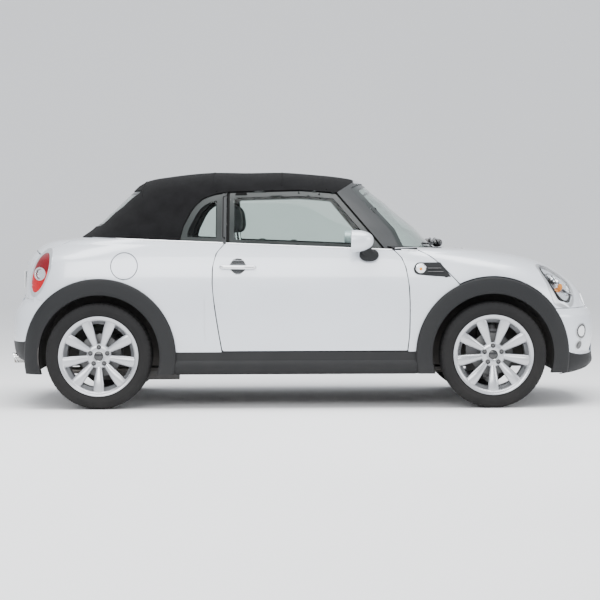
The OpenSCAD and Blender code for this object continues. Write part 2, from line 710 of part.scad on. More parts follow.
// Local z is outwards from the wheel's middle plane
module spoke_star() {
    for (i = [0:spokes - 1]) rotate(-90 + i * 360 / spokes)
        polygon([[60, -16], [140, -21], [214, -29], [214, 29], [140, 21], [60, 16]]);
}
module wheel_solid() { difference() {
    union() {
        rotate_extrude($fn = 96) polygon([[rim_r, 96], [rim_r, 91], [rim_r - 21, 88], [rim_r - 21, 62],
            [rim_r - 38, 48], [rim_r - 38, -40], [rim_r - 21, -60], [rim_r - 21, -88], [rim_r, -91],
            [rim_r, -96], [rim_r - 7, -96], [rim_r - 29, -84], [rim_r - 29, -62], [rim_r - 46, -44],
            [rim_r - 46, 46], [rim_r - 29, 64], [rim_r - 29, 84], [rim_r - 7, 96]]);
        intersection() {
            rotate_extrude($fn = 96) polygon([[0, 22], [80, 22], [150, 42], [214, 54], [214, 80],
                [206, 84], [150, 74], [90, 56], [70, 52], [0, 52]]);
            linear_extrude(height = 120) { spoke_star(); circle(r = 76); }
        }
        translate([0, 0, -48]) cylinder(r = 46, h = 90);
        translate([0, 0, -45]) cylinder(r = disc_r, h = 20);
    }
    translate([0, 0, -60]) cylinder(r = stub_r + run_clear, h = 90);
    for (i = [0:4]) rotate(90 + i * 72) translate([bolt_circle_r, 0, 36]) cylinder(r = 12, h = 40);
} }
module wheel(x, s) { color([0.75, 0.76, 0.78])
    translate([x, s * hub_y, tyre_r]) rotate([-s * 90, 0, 0]) rotate(s < 0 ? 0 : 180) wheel_solid();
}
module tyre(x, s) { color([0.07, 0.07, 0.07])
    translate([x, s * hub_y, tyre_r]) rotate([-90, 0, 0]) rotate_extrude($fn = 96) polygon([
        [rim_r - 20.6, -tyre_w / 2 + 15], [rim_r + 3, -tyre_w / 2 + 14], [rim_r + 20, -tyre_w / 2 + 3],
        [rim_r + 40, -tyre_w / 2], [tyre_r - 18, -tyre_w / 2 + 5], [tyre_r - 5, -tyre_w / 2 + 16],
        [tyre_r, -tyre_w / 2 + 32], [tyre_r, tyre_w / 2 - 32], [tyre_r - 5, tyre_w / 2 - 16],
        [tyre_r - 18, tyre_w / 2 - 5], [rim_r + 40, tyre_w / 2], [rim_r + 20, tyre_w / 2 - 3],
        [rim_r + 3, tyre_w / 2 - 14], [rim_r - 20.6, tyre_w / 2 - 15]]);
}

floor_pan();
sills();
front_bulkhead();
cowl();
housing(front_x, 1);  // housing_front_left
housing(front_x, -1);  // housing_front_right
housing(rear_x, 1);  // housing_rear_left
housing(rear_x, -1);  // housing_rear_right
carriers();
front_bumper();
rear_bumper();
lower_trims();
quarter_panels();
front_wings();
windscreen_frame();
windscreen();
soft_top();
rear_window();
quarter_windows();
rear_deck();
wheel_arch_trims();
headlights();
tail_lights();
grille();
exhaust();
engine();
dashboard();
front_seats();
rear_seat();
front_subframe();
rear_axle();
wipers();
door(1);  // door_left
door(-1);  // door_right
door_glass(1);  // door_glass_left
door_glass(-1);  // door_glass_right
mirror_unit(1);  // mirror_left
mirror_unit(-1);  // mirror_right
bonnet();
bonnet_grille();
tailgate();
fuel_flap();
steering_wheel();
knuckle(1);  // knuckle_left
knuckle(-1);  // knuckle_right
wheel(front_x, 1);  // wheel_front_left
wheel(front_x, -1);  // wheel_front_right
wheel(rear_x, 1);  // wheel_rear_left
wheel(rear_x, -1);  // wheel_rear_right
tyre(front_x, 1);  // tyre_front_left
tyre(front_x, -1);  // tyre_front_right
tyre(rear_x, 1);  // tyre_rear_left
tyre(rear_x, -1);  // tyre_rear_right
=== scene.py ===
"""Looks of a small convertible car, built around its packed CAD frame.

The shape code works in millimetres in the frame's axes: X forwards, Y to the left,
Z up from the floor. put() turns a finished shape into metres. Most panels are patches of
two smooth hulls, the body and the cabin, cut along outlines that are given in side view.
"""

import json
import math

import bmesh
import bpy
import numpy as np
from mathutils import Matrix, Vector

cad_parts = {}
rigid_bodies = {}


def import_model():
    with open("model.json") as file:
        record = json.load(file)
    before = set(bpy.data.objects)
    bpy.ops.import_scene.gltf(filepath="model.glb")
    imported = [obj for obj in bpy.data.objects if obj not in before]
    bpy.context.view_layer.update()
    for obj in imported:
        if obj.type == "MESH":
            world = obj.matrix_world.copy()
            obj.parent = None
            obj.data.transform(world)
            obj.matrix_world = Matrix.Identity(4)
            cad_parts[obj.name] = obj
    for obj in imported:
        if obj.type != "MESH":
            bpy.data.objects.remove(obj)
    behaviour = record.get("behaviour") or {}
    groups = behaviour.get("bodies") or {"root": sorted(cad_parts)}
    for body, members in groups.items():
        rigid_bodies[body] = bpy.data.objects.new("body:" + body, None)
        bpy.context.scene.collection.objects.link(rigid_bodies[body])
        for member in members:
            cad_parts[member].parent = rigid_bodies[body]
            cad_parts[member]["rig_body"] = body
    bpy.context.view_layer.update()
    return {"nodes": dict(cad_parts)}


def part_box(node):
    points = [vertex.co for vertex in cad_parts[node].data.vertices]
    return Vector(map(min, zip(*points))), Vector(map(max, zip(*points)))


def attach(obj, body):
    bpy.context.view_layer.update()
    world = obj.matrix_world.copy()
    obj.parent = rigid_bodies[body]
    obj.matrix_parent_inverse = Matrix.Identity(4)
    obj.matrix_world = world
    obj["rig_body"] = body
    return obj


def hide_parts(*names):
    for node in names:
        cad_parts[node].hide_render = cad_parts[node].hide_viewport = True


bl_info = {
    "name": "Small Convertible Looks",
    "version": (1, 0, 0),
    "blender": (4, 5, 0),
    "location": "3D View > Sidebar > Convertible",
    "description": "Builds the visible surfaces and finishes of a small convertible car",
    "category": "Object",
}

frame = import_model()


def node_box(node):
    """Lowest and highest corner of a CAD node, in millimetres."""
    return [np.array(corner) * 1000 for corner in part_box(node)]


# ---------- driving sizes, from the frame ----------
TYRE_BOX = node_box("tyre_front_right")
TYRE_R = (TYRE_BOX[1][2] - TYRE_BOX[0][2]) / 2
TYRE_W = TYRE_BOX[1][1] - TYRE_BOX[0][1]
HUB_Y = -(TYRE_BOX[0][1] + TYRE_BOX[1][1]) / 2
FRONT_X = (TYRE_BOX[0][0] + TYRE_BOX[1][0]) / 2
REAR_X = float(np.mean([c[0] for c in node_box("tyre_rear_right")]))
RIM_BOX = node_box("wheel_front_right")
RIM_R = (RIM_BOX[1][2] - RIM_BOX[0][2]) / 2
TRIM_HALF = node_box("wheel_arch_trims")[1][1]
GATE_HALF = node_box("tailgate")[1][1]
FLAP_BOX = node_box("fuel_flap")
FLAP_X = (FLAP_BOX[0][0] + FLAP_BOX[1][0]) / 2
FLAP_Z = (FLAP_BOX[0][2] + FLAP_BOX[1][2]) / 2
FLAP_R = (FLAP_BOX[1][0] - FLAP_BOX[0][0]) / 2

# ---------- sizes shared with the CAD ----------
BODY_HALF = 815
ARCH_R = 371
TRIM_R = 471
SHUT_GAP = 7
SILL_TOP = 352
SILL_LOW = 208
BUMPER_TOP_FRONT = 600
BUMPER_TOP_REAR = 664
GATE_LOW = 672
GATE_HINGE = (-1775, 670)
GATE_R = 303
LAMP_AT = (1555, 583, 750)
LAMP_R = 113
BONNET_HINGE = (695, 972)
HEADER_X = 315
# The rear window's opening: height of its middle, half its width and half its height.
REAR_WINDOW_Z, REAR_WINDOW_HALF, REAR_WINDOW_RISE = 1226, 420, 112
# The windscreen's foot in plan: where its curve starts, its reach ahead and its half width.
FOOT_X, FOOT_REACH, FOOT_HALF = -400, 1250, 757
# A tail light in side view: its middle and the turn of its long axis, then the middle and
# radius of the round lamp in it, and the height where dark glass gives way to bright.
TAIL_LAMP, TAIL_LAMP_TURN = (-1611, 828), 71
TAIL_EYE, TAIL_EYE_R = (-1613, 822), 40
TAIL_SPLIT_Z = 838
# Middle of the right door mirror's shell.
MIRROR_AT = np.array([292, -868, 1016])

# Shape tables: height, then the value there.
SIDE = [(180, -70), (230, -28), (300, -10), (450, -2), (600, 0), (700, -2), (780, -7),
        (850, -18), (900, -30), (950, -45), (1000, -63), (1045, -80)]
NOSE = [(180, 1640), (200, 1760), (225, 1820), (262, 1846), (295, 1841), (325, 1828),
        (365, 1838), (430, 1848), (500, 1850), (545, 1846), (572, 1830), (592, 1808),
        (620, 1795), (678, 1771), (741, 1722), (809, 1634), (866, 1536), (910, 1411),
        (935, 1288), (954, 1163), (967, 977), (975, 800)]
TAIL = [(180, -1480), (250, -1640), (275, -1780), (300, -1825), (350, -1842), (440, -1850),
        (530, -1849), (590, -1832), (640, -1795), (664, -1772), (740, -1768), (820, -1763),
        (880, -1751), (930, -1730), (960, -1708), (985, -1682), (1002, -1655), (1018, -1614),
        (1028, -1562), (1034, -1510), (1040, -1458), (1046, -1406), (1052, -1340)]
NOSE_SQUARE = [(560, 10), (640, 8), (750, 8), (850, 7.5), (900, 6), (940, 4.5)]
TAIL_SQUARE = [(640, 9), (900, 9), (960, 6), (1000, 4)]
ROOF_WIDTH = [(900, 783), (950, 765), (1000, 748), (1100, 712), (1200, 668), (1290, 622),
              (1335, 592), (1370, 556), (1400, 505), (1425, 435), (1442, 340), (1452, 220),
              (1458, 0)]
SCREEN = [(900, 940), (950, 880), (1000, 818), (1040, 775), (1096, 723), (1141, 671),
          (1181, 619), (1226, 567), (1272, 515), (1311, 463), (1357, 412), (1392, 360),
          (1412, 300), (1422, 245), (1436, 152), (1448, 10), (1455, -160), (1458, -390)]
BACK = [(900, -1590), (950, -1520), (1040, -1425), (1092, -1355), (1137, -1303),
        (1189, -1251), (1234, -1199), (1286, -1147), (1331, -1095), (1376, -1043),
        (1404, -991), (1418, -939), (1428, -880), (1440, -800), (1450, -690), (1456, -560),
        (1458, -420)]
CABIN_SQUARE = [(1000, 6), (1300, 5), (1400, 4), (1450, 3)]
DOOR_FRONT = [(352, 630), (466, 642), (617, 645), (733, 641), (849, 622), (913, 596),
              (960, 550)]
DOOR_REAR = [(352, -493), (483, -516), (622, -537), (761, -551), (854, -549), (941, -527),
             (1005, -475)]
BONNET_LINE = [(600, 1060), (752, 956), (870, 843), (922, 780), (962, 700)]
# Outlines in side view: x, z.
CHIN = [(1560, 420), (1594, 372), (1641, 326), (1716, 312), (1900, 308)]
VALANCE = [(-1900, 398), (-1727, 405), (-1665, 451), (-1625, 558), (-1592, 579)]
WINDOW_TOP = [(-790, 900), (-738, 1110), (-691, 1205), (-620, 1282), (-537, 1313),
              (-454, 1325), (-18, 1335), (211, 1319), (600, 900)]
PILLAR = [(315.5, 1600), (315.5, 1385), (212, 1318), (497, 975), (510, 940), (600, 950),
          (545, 1075), (300, 1347), (392, 1390), (420, 1600)]


# ---------- the two hulls ----------
def curve(table, v):
    """Monotone cubic through the table's points, held level beyond its ends."""
    k, y = np.array(table, float).T
    h, d = np.diff(k), np.diff(y) / np.diff(k)
    both = d[:-1] * d[1:]
    inner = np.where(both > 0, 2 * both / np.where(both > 0, d[:-1] + d[1:], 1), 0)
    m = np.concatenate([d[:1], inner, d[-1:]])
    v = np.clip(v, k[0], k[-1])
    i = np.clip(np.searchsorted(k, v, side="right") - 1, 0, len(k) - 2)
    s = (v - k[i]) / h[i]
    return (y[i] * (2 * s**3 - 3 * s**2 + 1) + m[i] * h[i] * (s**3 - 2 * s**2 + s)
            + y[i + 1] * (3 * s**2 - 2 * s**3) + m[i + 1] * h[i] * (s**3 - s**2))


def body_width(z):
    return BODY_HALF + curve(SIDE, z)


def cabin_width(z):
    return curve(ROOF_WIDTH, z)


# Each hull: half width by height, then for the front and the rear the station where its
# plan outline starts to curve, the table of its end, and that outline's squareness.
BODY = (body_width, (250, NOSE, NOSE_SQUARE), (-600, TAIL, TAIL_SQUARE))
CABIN = (cabin_width, (-400, SCREEN, CABIN_SQUARE), (-400, BACK, CABIN_SQUARE))
PLAN_POWER = 2.2


def half_width(hull, x, z):
    """Half width at station x and height z: the widest there, times
    (1 - u^square)^(1/2.2) towards each end, where u runs from 0 to 1 at the end."""
    wide = hull[0](z)
    for start, table, square in hull[1:]:
        u = np.clip((x - start) / (curve(table, z) - start + 1e-9), 0, 1)
        wide = wide * (1 - u ** curve(square, z)) ** (1 / PLAN_POWER)
    return wide


def end_x(hull, end, y, z):
    """The station of a hull's end (0 front, 1 rear) at a distance y from the middle."""
    start, table, square = hull[1 + end]
    t = np.clip(1 - (np.abs(y) / hull[0](z)) ** PLAN_POWER, 0, 1)
    return start + (curve(table, z) - start) * t ** (1 / curve(square, z))


def body_top(x, y):
    """Height of the body's top surface over a point in plan, by halving."""
    low, high = np.full(np.shape(x), 700.0), np.full(np.shape(x), 1050.0)
    for _ in range(18):
        middle = (low + high) / 2
        within = half_width(BODY, x, middle) > np.abs(y)
        low, high = np.where(within, middle, low), np.where(within, high, middle)
    return np.minimum(low, belt(x) + 20)


def belt(x):
    return 984 - 0.043 * x


def rows_along(table, low, high, step):
    """Heights between two, spaced evenly along the end profile that the table gives."""
    z = np.linspace(low, high, 400)
    x = curve(table, z)
    run = np.concatenate([[0], np.cumsum(np.hypot(np.diff(x), np.diff(z)))])
    return np.interp(np.linspace(0, run[-1], max(3, int(run[-1] / step))), run, z)


def side_patch(hull, x_low, x_high, z_low, z_high, step=12):
    """Grid over a hull's right side: y is minus the half width at (x, z)."""
    z, x = np.meshgrid(np.arange(z_low, z_high + step, step),
                       np.arange(x_low, x_high + step, step), indexing="ij")
    return np.stack([x, -half_width(hull, x, z), z], -1)


def end_patch(hull, end, heights, columns, whole=True):
    """Grid round a hull's end (0 front, 1 rear), one row for each height. A row is the
    plan outline X^square + Y^2.2 = 1, with its points evenly spaced along it, from the
    right side to the middle, and on to the left side if it is whole."""
    start, table, square = hull[1 + end]
    ramp = np.linspace(0, 1, 150)
    rows = []
    for z in heights:
        wide, power, far = hull[0](z), curve(square, z), curve(table, z)
        t = np.sort(np.concatenate([ramp**power, 1 - ramp**PLAN_POWER]))
        x = start + (far - start) * t ** (1 / power)
        y = -wide * np.clip(1 - t, 0, 1) ** (1 / PLAN_POWER)
        run = np.concatenate([[0], np.cumsum(np.hypot(np.diff(x), np.diff(y)))])
        at = np.linspace(0, run[-1], columns)
        rows.append(np.stack([np.interp(at, run, x), np.interp(at, run, y),
                              np.full(columns, z)], -1))
    grid = np.array(rows)
    return both_sides(grid) if whole else grid


def both_sides(grid):
    """The grid and its mirror image in one, where its last column is in the middle."""
    grid[:, -1, 1] = 0
    return np.concatenate([grid, grid[:, -2::-1] * [1, -1, 1]], 1)


# ---------- outlines ----------
def inside(outline, a, b):
    """Distance of points (a, b) inside a closed outline, and below 0 outside it."""
    near, turns = np.full(np.shape(a), 1e9), np.zeros(np.shape(a), bool)
    for (x0, y0), (x1, y1) in zip(outline, list(outline[1:]) + [outline[0]]):
        dx, dy = x1 - x0, y1 - y0
        t = np.clip(((a - x0) * dx + (b - y0) * dy) / (dx * dx + dy * dy + 1e-9), 0, 1)
        near = np.minimum(near, np.hypot(a - x0 - t * dx, b - y0 - t * dy))
        cross = (y0 > b) != (y1 > b)
        turns ^= cross & (a < x0 + (b - y0) * dx / np.where(dy == 0, 1, dy))
    return np.where(turns, near, -near)


def outside_circle(p, x, z, radius):
    return np.hypot(p[..., 0] - x, p[..., 2] - z) - radius


def ellipse(p, x, z, long, short, turn):
    """Rough distance outside an ellipse in side view, turned by so many degrees."""
    c, s = math.cos(math.radians(turn)), math.sin(math.radians(turn))
    a, b = p[..., 0] - x, p[..., 2] - z
    return (np.hypot((a * c + b * s) / long, (b * c - a * s) / short) - 1) * short


def outside_foot(p, grow):
    """Rough distance outside the windscreen's foot in plan, grown by so much. The foot
    is the curve X^6 + Y^2.2 = 1."""
    x = np.clip((p[..., 0] - FOOT_X) / (FOOT_REACH + grow), 0.01, None)
    y = np.abs(p[..., 1]) / (FOOT_HALF + grow) + 1e-6
    rise = np.hypot(6 * x**5 / (FOOT_REACH + grow), 2.2 * y**1.2 / (FOOT_HALF + grow))
    return (x**6 + y**PLAN_POWER - 1) / rise


def from_lamp_axis(p):
    """Distance from the line along which the bonnet lifts off a headlight."""
    lift = math.atan2(LAMP_AT[0] - BONNET_HINGE[0], BONNET_HINGE[1] - LAMP_AT[2])
    axis = np.array([math.sin(math.pi / 2 - lift), 0, math.cos(math.pi / 2 - lift)])
    d = p - np.array(LAMP_AT)
    d[..., 1] = np.abs(p[..., 1]) - LAMP_AT[1]
    along = d @ axis
    return np.sqrt(np.maximum((d**2).sum(-1) - along**2, 0))


# ---------- shapes: (points, list of face arrays) ----------
def grid_shape(grid, wrap_rows=False, wrap_columns=False):
    """Quads between neighbouring points of a grid."""
    rows, columns = grid.shape[:2]
    i = np.arange(rows * columns).reshape(rows, columns)
    i = np.concatenate([i, i[:1]], 0) if wrap_rows else i
    i = np.concatenate([i, i[:, :1]], 1) if wrap_columns else i
    quads = np.stack([i[:-1, :-1], i[:-1, 1:], i[1:, 1:], i[1:, :-1]], -1)
    return grid.reshape(-1, 3), [quads.reshape(-1, 4)]


def trimmed(grid, depth):
    """The part of a grid where depth(points) is above 0. A point within about half a cell
    of the edge moves onto it by Newton's step in the grid's own two directions, and then
    the cells that lie inside are kept, with a triangle where one corner is out."""
    first = depth(grid)
    along_u, along_v = np.gradient(grid, axis=0), np.gradient(grid, axis=1)
    slope_u, slope_v = np.gradient(first, axis=0), np.gradient(first, axis=1)
    steep = slope_u**2 + slope_v**2 + 1e-12
    near = np.abs(first) / np.sqrt(steep) < 0.6
    u, v = np.zeros(first.shape), np.zeros(first.shape)
    for _ in range(3):
        now = depth(grid + along_u * u[..., None] + along_v * v[..., None])
        u = np.clip(u - np.where(near, now * slope_u / steep, 0), -0.7, 0.7)
        v = np.clip(v - np.where(near, now * slope_v / steep, 0), -0.7, 0.7)
    moved = grid + along_u * u[..., None] + along_v * v[..., None]
    keep = (near | (first > 0)).ravel()
    quads = grid_shape(moved)[1][0]
    count = keep[quads].sum(1)
    whole, cut = quads[count == 4], quads[count == 3]
    order = np.argsort(~keep[cut], axis=1, kind="stable")[:, :3]
    corners = np.take_along_axis(cut, np.sort(order, 1), 1)
    return used_only((moved.reshape(-1, 3), [whole, corners]))


def used_only(shape):
    points, faces = shape
    used = np.unique(np.concatenate([f.ravel() for f in faces]))
    to = np.zeros(len(points), int)
    to[used] = np.arange(len(used))
    return points[used], [to[f] for f in faces]


def normals_of(shape):
    """Unit normals at the points, from the sums of their faces' normals."""
    points, faces = shape
    total = np.zeros(points.shape)
    for f in faces:
        if len(f):
            n = np.cross(points[f[:, 1]] - points[f[:, 0]], points[f[:, 2]] - points[f[:, 0]])
            if f.shape[1] == 4:
                n = n + np.cross(points[f[:, 2]] - points[f[:, 0]],
                                 points[f[:, 3]] - points[f[:, 0]])
            for corner in range(f.shape[1]):
                np.add.at(total, f[:, corner], n)
    return total / (np.linalg.norm(total, axis=1, keepdims=True) + 1e-12)


def facing_out(shape, middle=(0, 0, 500)):
    """The shape with its faces turned away from a middle point."""
    points, faces = shape
    away = ((points - np.array(middle)) * normals_of(shape)).sum(1).mean()
    return shape if away > 0 else (points, [f[:, ::-1] for f in faces])


def raised(shape, height):
    """The shape moved along its normals by a height, one number or one a point."""
    return shape[0] + normals_of(shape) * np.reshape(height, (-1, 1)), shape[1]


def thick(shape, wall):
    """A closed shell: the sheet, a copy moved inwards by the wall, and a rim between."""
    points, faces = shape
    count = len(points)
    inner = points - normals_of(shape) * np.reshape(wall, (-1, 1))
    edges = np.concatenate([np.stack([f, np.roll(f, -1, 1)], -1).reshape(-1, 2)
                            for f in faces if len(f)])
    key, back = edges[:, 0] * count + edges[:, 1], edges[:, 1] * count + edges[:, 0]
    a, b = edges[~np.isin(key, back)].T
    rim = np.stack([b, a, a + count, b + count], -1)
    return (np.concatenate([points, inner]),
            list(faces) + [f[:, ::-1] + count for f in faces] + [rim])


def mirrored(shape):
    return shape[0] * [1, -1, 1], [f[:, ::-1] for f in shape[1]]


def joined(*shapes):
    points, faces, start = [], [], 0
    for p, fs in shapes:
        points.append(p)
        faces += [f + start for f in fs]
        start += len(p)
    return np.concatenate(points), faces


def pair(shape):
    return joined(shape, mirrored(shape))


def sweep(path, section, up=(0, 0, 1), closed=False):
    """A closed section carried along a path. The section's two numbers are distances to
    the side and along the part of up that is square to the path; it may be one section,
    or one for each point of the path."""
    path = np.array(path, float)
    run = np.gradient(path, axis=0)
    if closed:
        run = np.roll(path, -1, 0) - np.roll(path, 1, 0)
    run = run / np.linalg.norm(run, axis=1, keepdims=True)
    side = np.cross(run, np.array(up, float))
    side = side / np.linalg.norm(side, axis=1, keepdims=True)
    over = np.cross(side, run)
    section = np.array(section, float)
    if section.ndim == 2:
        section = np.repeat(section[None], len(path), 0)
    grid = (path[:, None] + side[:, None] * section[..., :1] + over[:, None] * section[..., 1:])
    shape = grid_shape(grid, wrap_rows=closed, wrap_columns=True)
    return shape if closed else capped(shape, len(path), section.shape[1])


def capped(shape, rows, columns):
    """A fan closes each end of a tube of so many rows and columns."""
    points, faces = shape
    ends = np.array([points[:columns].mean(0), points[-columns:].mean(0)])
    i = np.arange(columns)
    j, base, count = (i + 1) % columns, (rows - 1) * columns, len(points)
    first = np.stack([j, i, np.full(columns, count)], -1)
    last = np.stack([base + i, base + j, np.full(columns, count + 1)], -1)
    return np.concatenate([points, ends]), faces + [first, last]


def oval(width, height, count=16, power=1.0):
    """Closed section: an ellipse, or squarer where power is under 1."""
    a = np.arange(count) * 2 * np.pi / count
    c, s = np.cos(a), np.sin(a)
    return np.stack([width / 2 * np.sign(c) * np.abs(c) ** power,
                     height / 2 * np.sign(s) * np.abs(s) ** power], -1)


def lathe(profile, x, y, z, count=72, out=-1, closed=True):
    """A profile of (radius, distance outwards) turned about a wheel's axle."""
    r, w = np.array(profile, float).T
    a = np.arange(count) * 2 * np.pi / count
    grid = np.stack([x + r[:, None] * np.cos(a), y + out * w[:, None] + 0 * a,
                     z + r[:, None] * np.sin(a)], -1)
    return grid_shape(grid, wrap_rows=closed, wrap_columns=True)


def pebble(centre, radii, power=1.0, count=28):
    """Superellipsoid: (c^p C^p, c^p S^p, s^p) of the two angles, scaled by its radii."""
    v = np.linspace(-np.pi / 2, np.pi / 2, count // 2 + 1)[:, None]
    u = np.arange(count)[None] * 2 * np.pi / count
    bend = lambda t: np.sign(t) * np.abs(t) ** power
    grid = np.stack([bend(np.cos(v)) * bend(np.cos(u)), bend(np.cos(v)) * bend(np.sin(u)),
                     bend(np.sin(v)) + 0 * u], -1)
    return grid_shape(grid * np.array(radii) + np.array(centre), wrap_columns=True)


def soft_box(low, high, radius, cells=10):
    """Box with rounded edges: a cube's surface, each point moved to a set distance from
    the nearest point of the box that is smaller by the radius."""
    low, high = np.array(low, float), np.array(high, float)
    t = np.linspace(-1, 1, cells + 1)
    t = np.sign(t) * np.abs(t) ** 0.7
    a, b = np.meshgrid(t, t, indexing="ij")
    one = np.ones_like(a)
    sides = []
    for axis in range(3):
        for sign in (-1, 1):
            grid = np.stack(np.roll([sign * one, a, b], axis, 0), -1)
            points = (low + high) / 2 + grid * (high - low) / 2
            core = np.clip(points, low + radius, high - radius)
            away = points - core
            away = away / (np.linalg.norm(away, axis=-1, keepdims=True) + 1e-9)
            sides.append(grid_shape(core + away * radius))
    return joined(*sides)


def turned(shape, angle, axis=1, about=(0, 0, 0)):
    """The shape turned by degrees about an axis (0 X, 1 Y, 2 Z) through a point."""
    c, s = math.cos(math.radians(angle)), math.sin(math.radians(angle))
    i, j = [(1, 2), (2, 0), (0, 1)][axis]
    matrix = np.eye(3)
    matrix[i, i], matrix[i, j], matrix[j, i], matrix[j, j] = c, -s, s, c
    return (shape[0] - np.array(about)) @ matrix.T + np.array(about), shape[1]


def put(name, parts, body, replaces=(), sharp=38, recalc=True):
    """Makes a piece of (shape, material) parts, in metres, and gives it to a body."""
    if not isinstance(parts, list):
        parts = [parts]
    mesh = bpy.data.meshes.new(name)
    points, faces = joined(*[shape for shape, _ in parts])
    which = np.concatenate([np.full(sum(len(f) for f in shape[1]), i)
                            for i, (shape, _) in enumerate(parts)])
    mesh.from_pydata((points / 1000).tolist(), [], [f for fs in faces for f in fs.tolist()])
    mesh.polygons.foreach_set("material_index", which.astype(np.int32))
    for _, material in parts:
        mesh.materials.append(material)
    work = bmesh.new()
    work.from_mesh(mesh)
    bmesh.ops.remove_doubles(work, verts=work.verts, dist=2e-5)
    if recalc:
        bmesh.ops.recalc_face_normals(work, faces=work.faces)
    work.to_mesh(mesh)
    work.free()
    mesh.shade_smooth()
    mesh.set_sharp_from_angle(angle=math.radians(sharp))
    piece = bpy.data.objects.new(name, mesh)
    bpy.context.scene.collection.objects.link(piece)
    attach(piece, body)
    if replaces:
        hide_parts(*replaces)
    return piece


# ---------- shared shader effects ----------
def new_group(name, inputs, outputs):
    """Empty node group with float inputs (name, default) and outputs (name, kind)."""
    tree = bpy.data.node_groups.new(name, "ShaderNodeTree")
    for label, value in inputs:
        socket = tree.interface.new_socket(label, in_out="INPUT", socket_type="NodeSocketFloat")
        socket.default_value = value
    for label, kind in outputs:
        tree.interface.new_socket(label, in_out="OUTPUT", socket_type="NodeSocket" + kind)
    return tree, tree.nodes.new("NodeGroupInput"), tree.nodes.new("NodeGroupOutput")


def add(tree, kind, values=(), **settings):
    """A node with its settings and the values of its inputs."""
    node = tree.nodes.new(kind)
    for key, value in settings.items():
        setattr(node, key, value)
    for key, value in dict(values).items():
        if isinstance(value, bpy.types.NodeSocket):
            tree.links.new(value, node.inputs[key])
        else:
            node.inputs[key].default_value = value
    return node


def maths(tree, operation, a, b=0.0, clamp=False):
    return add(tree, "ShaderNodeMath", {0: a, 1: b}, operation=operation,
               use_clamp=clamp).outputs[0]


def grain_group():
    """Two sizes of noise: fine for the surface's texture, and broad for slow change."""
    tree, given, made = new_group("Grain", [("Fineness", 900.0), ("Breadth", 3.0)],
                                  [("Fine", "Float"), ("Broad", "Float")])
    place = add(tree, "ShaderNodeTexCoord").outputs["Object"]
    fine = add(tree, "ShaderNodeTexNoise",
               {"Vector": place, "Scale": given.outputs[0], "Detail": 3.0})
    broad = add(tree, "ShaderNodeTexNoise",
                {"Vector": place, "Scale": given.outputs[1], "Detail": 4.0})
    tree.links.new(fine.outputs["Fac"], made.inputs["Fine"])
    tree.links.new(broad.outputs["Fac"], made.inputs["Broad"])
    return tree


def dust_group():
    """Road dust: most near the floor, fading out with height and broken by noise."""
    tree, given, made = new_group("Road dust", [("Reach", 0.6), ("Amount", 0.3)],
                                  [("Mask", "Float")])
    place = add(tree, "ShaderNodeTexCoord").outputs["Object"]
    height = add(tree, "ShaderNodeSeparateXYZ", {0: place}).outputs["Z"]
    low = maths(tree, "SUBTRACT", 1.0, maths(tree, "DIVIDE", height, given.outputs["Reach"]),
                clamp=True)
    patch = add(tree, "ShaderNodeTexNoise", {"Vector": place, "Scale": 9.0, "Detail": 6.0})
    broken = maths(tree, "MULTIPLY", low, patch.outputs["Fac"])
    mask = maths(tree, "MULTIPLY", broken, given.outputs["Amount"], clamp=True)
    tree.links.new(mask, made.inputs["Mask"])
    return tree


def weave_group():
    """Plain weave seen from above: two trains of ridges that take turns to be on top,
    one along X and one along Y and Z together, with a little noise in the threads."""
    tree, given, made = new_group("Weave", [("Threads", 900.0)],
                                  [("Height", "Float"), ("Tone", "Float")])
    place = add(tree, "ShaderNodeTexCoord").outputs["Object"]
    axes = add(tree, "ShaderNodeSeparateXYZ", {0: place})
    across = maths(tree, "ADD", axes.outputs["Y"], axes.outputs["Z"])
    ridges = []
    for line in (axes.outputs["X"], across):
        turn = maths(tree, "MULTIPLY", line, given.outputs["Threads"])
        ridges.append(maths(tree, "SINE", turn))
    woven = maths(tree, "MULTIPLY", ridges[0], ridges[1])
    lint = add(tree, "ShaderNodeTexNoise", {"Vector": place, "Scale": 700.0, "Detail": 2.0})
    height = maths(tree, "ADD", maths(tree, "MULTIPLY", woven, 0.35), lint.outputs["Fac"])
    wide = add(tree, "ShaderNodeTexNoise", {"Vector": place, "Scale": 14.0, "Detail": 5.0})
    tree.links.new(height, made.inputs["Height"])
    tree.links.new(wide.outputs["Fac"], made.inputs["Tone"])
    return tree


GRAIN, DUST, WEAVE = grain_group(), dust_group(), weave_group()


# ---------- finishes ----------
def ramp_between(tree, mask, low, high, dark, light):
    """Two colours by a mask, where the change happens between two levels of the mask."""
    part = add(tree, "ShaderNodeMapRange", {"Value": mask, "From Min": low, "From Max": high})
    mix = add(tree, "ShaderNodeMix", data_type="RGBA")
    tree.links.new(part.outputs["Result"], mix.inputs[0])
    mix.inputs[6].default_value, mix.inputs[7].default_value = (*dark, 1), (*light, 1)
    return mix.outputs[2]


def over(tree, mask, under, top):
    mix = add(tree, "ShaderNodeMix", data_type="RGBA")
    tree.links.new(mask, mix.inputs[0])
    tree.links.new(under, mix.inputs[6])
    mix.inputs[7].default_value = (*top, 1)
    return mix.outputs[2]


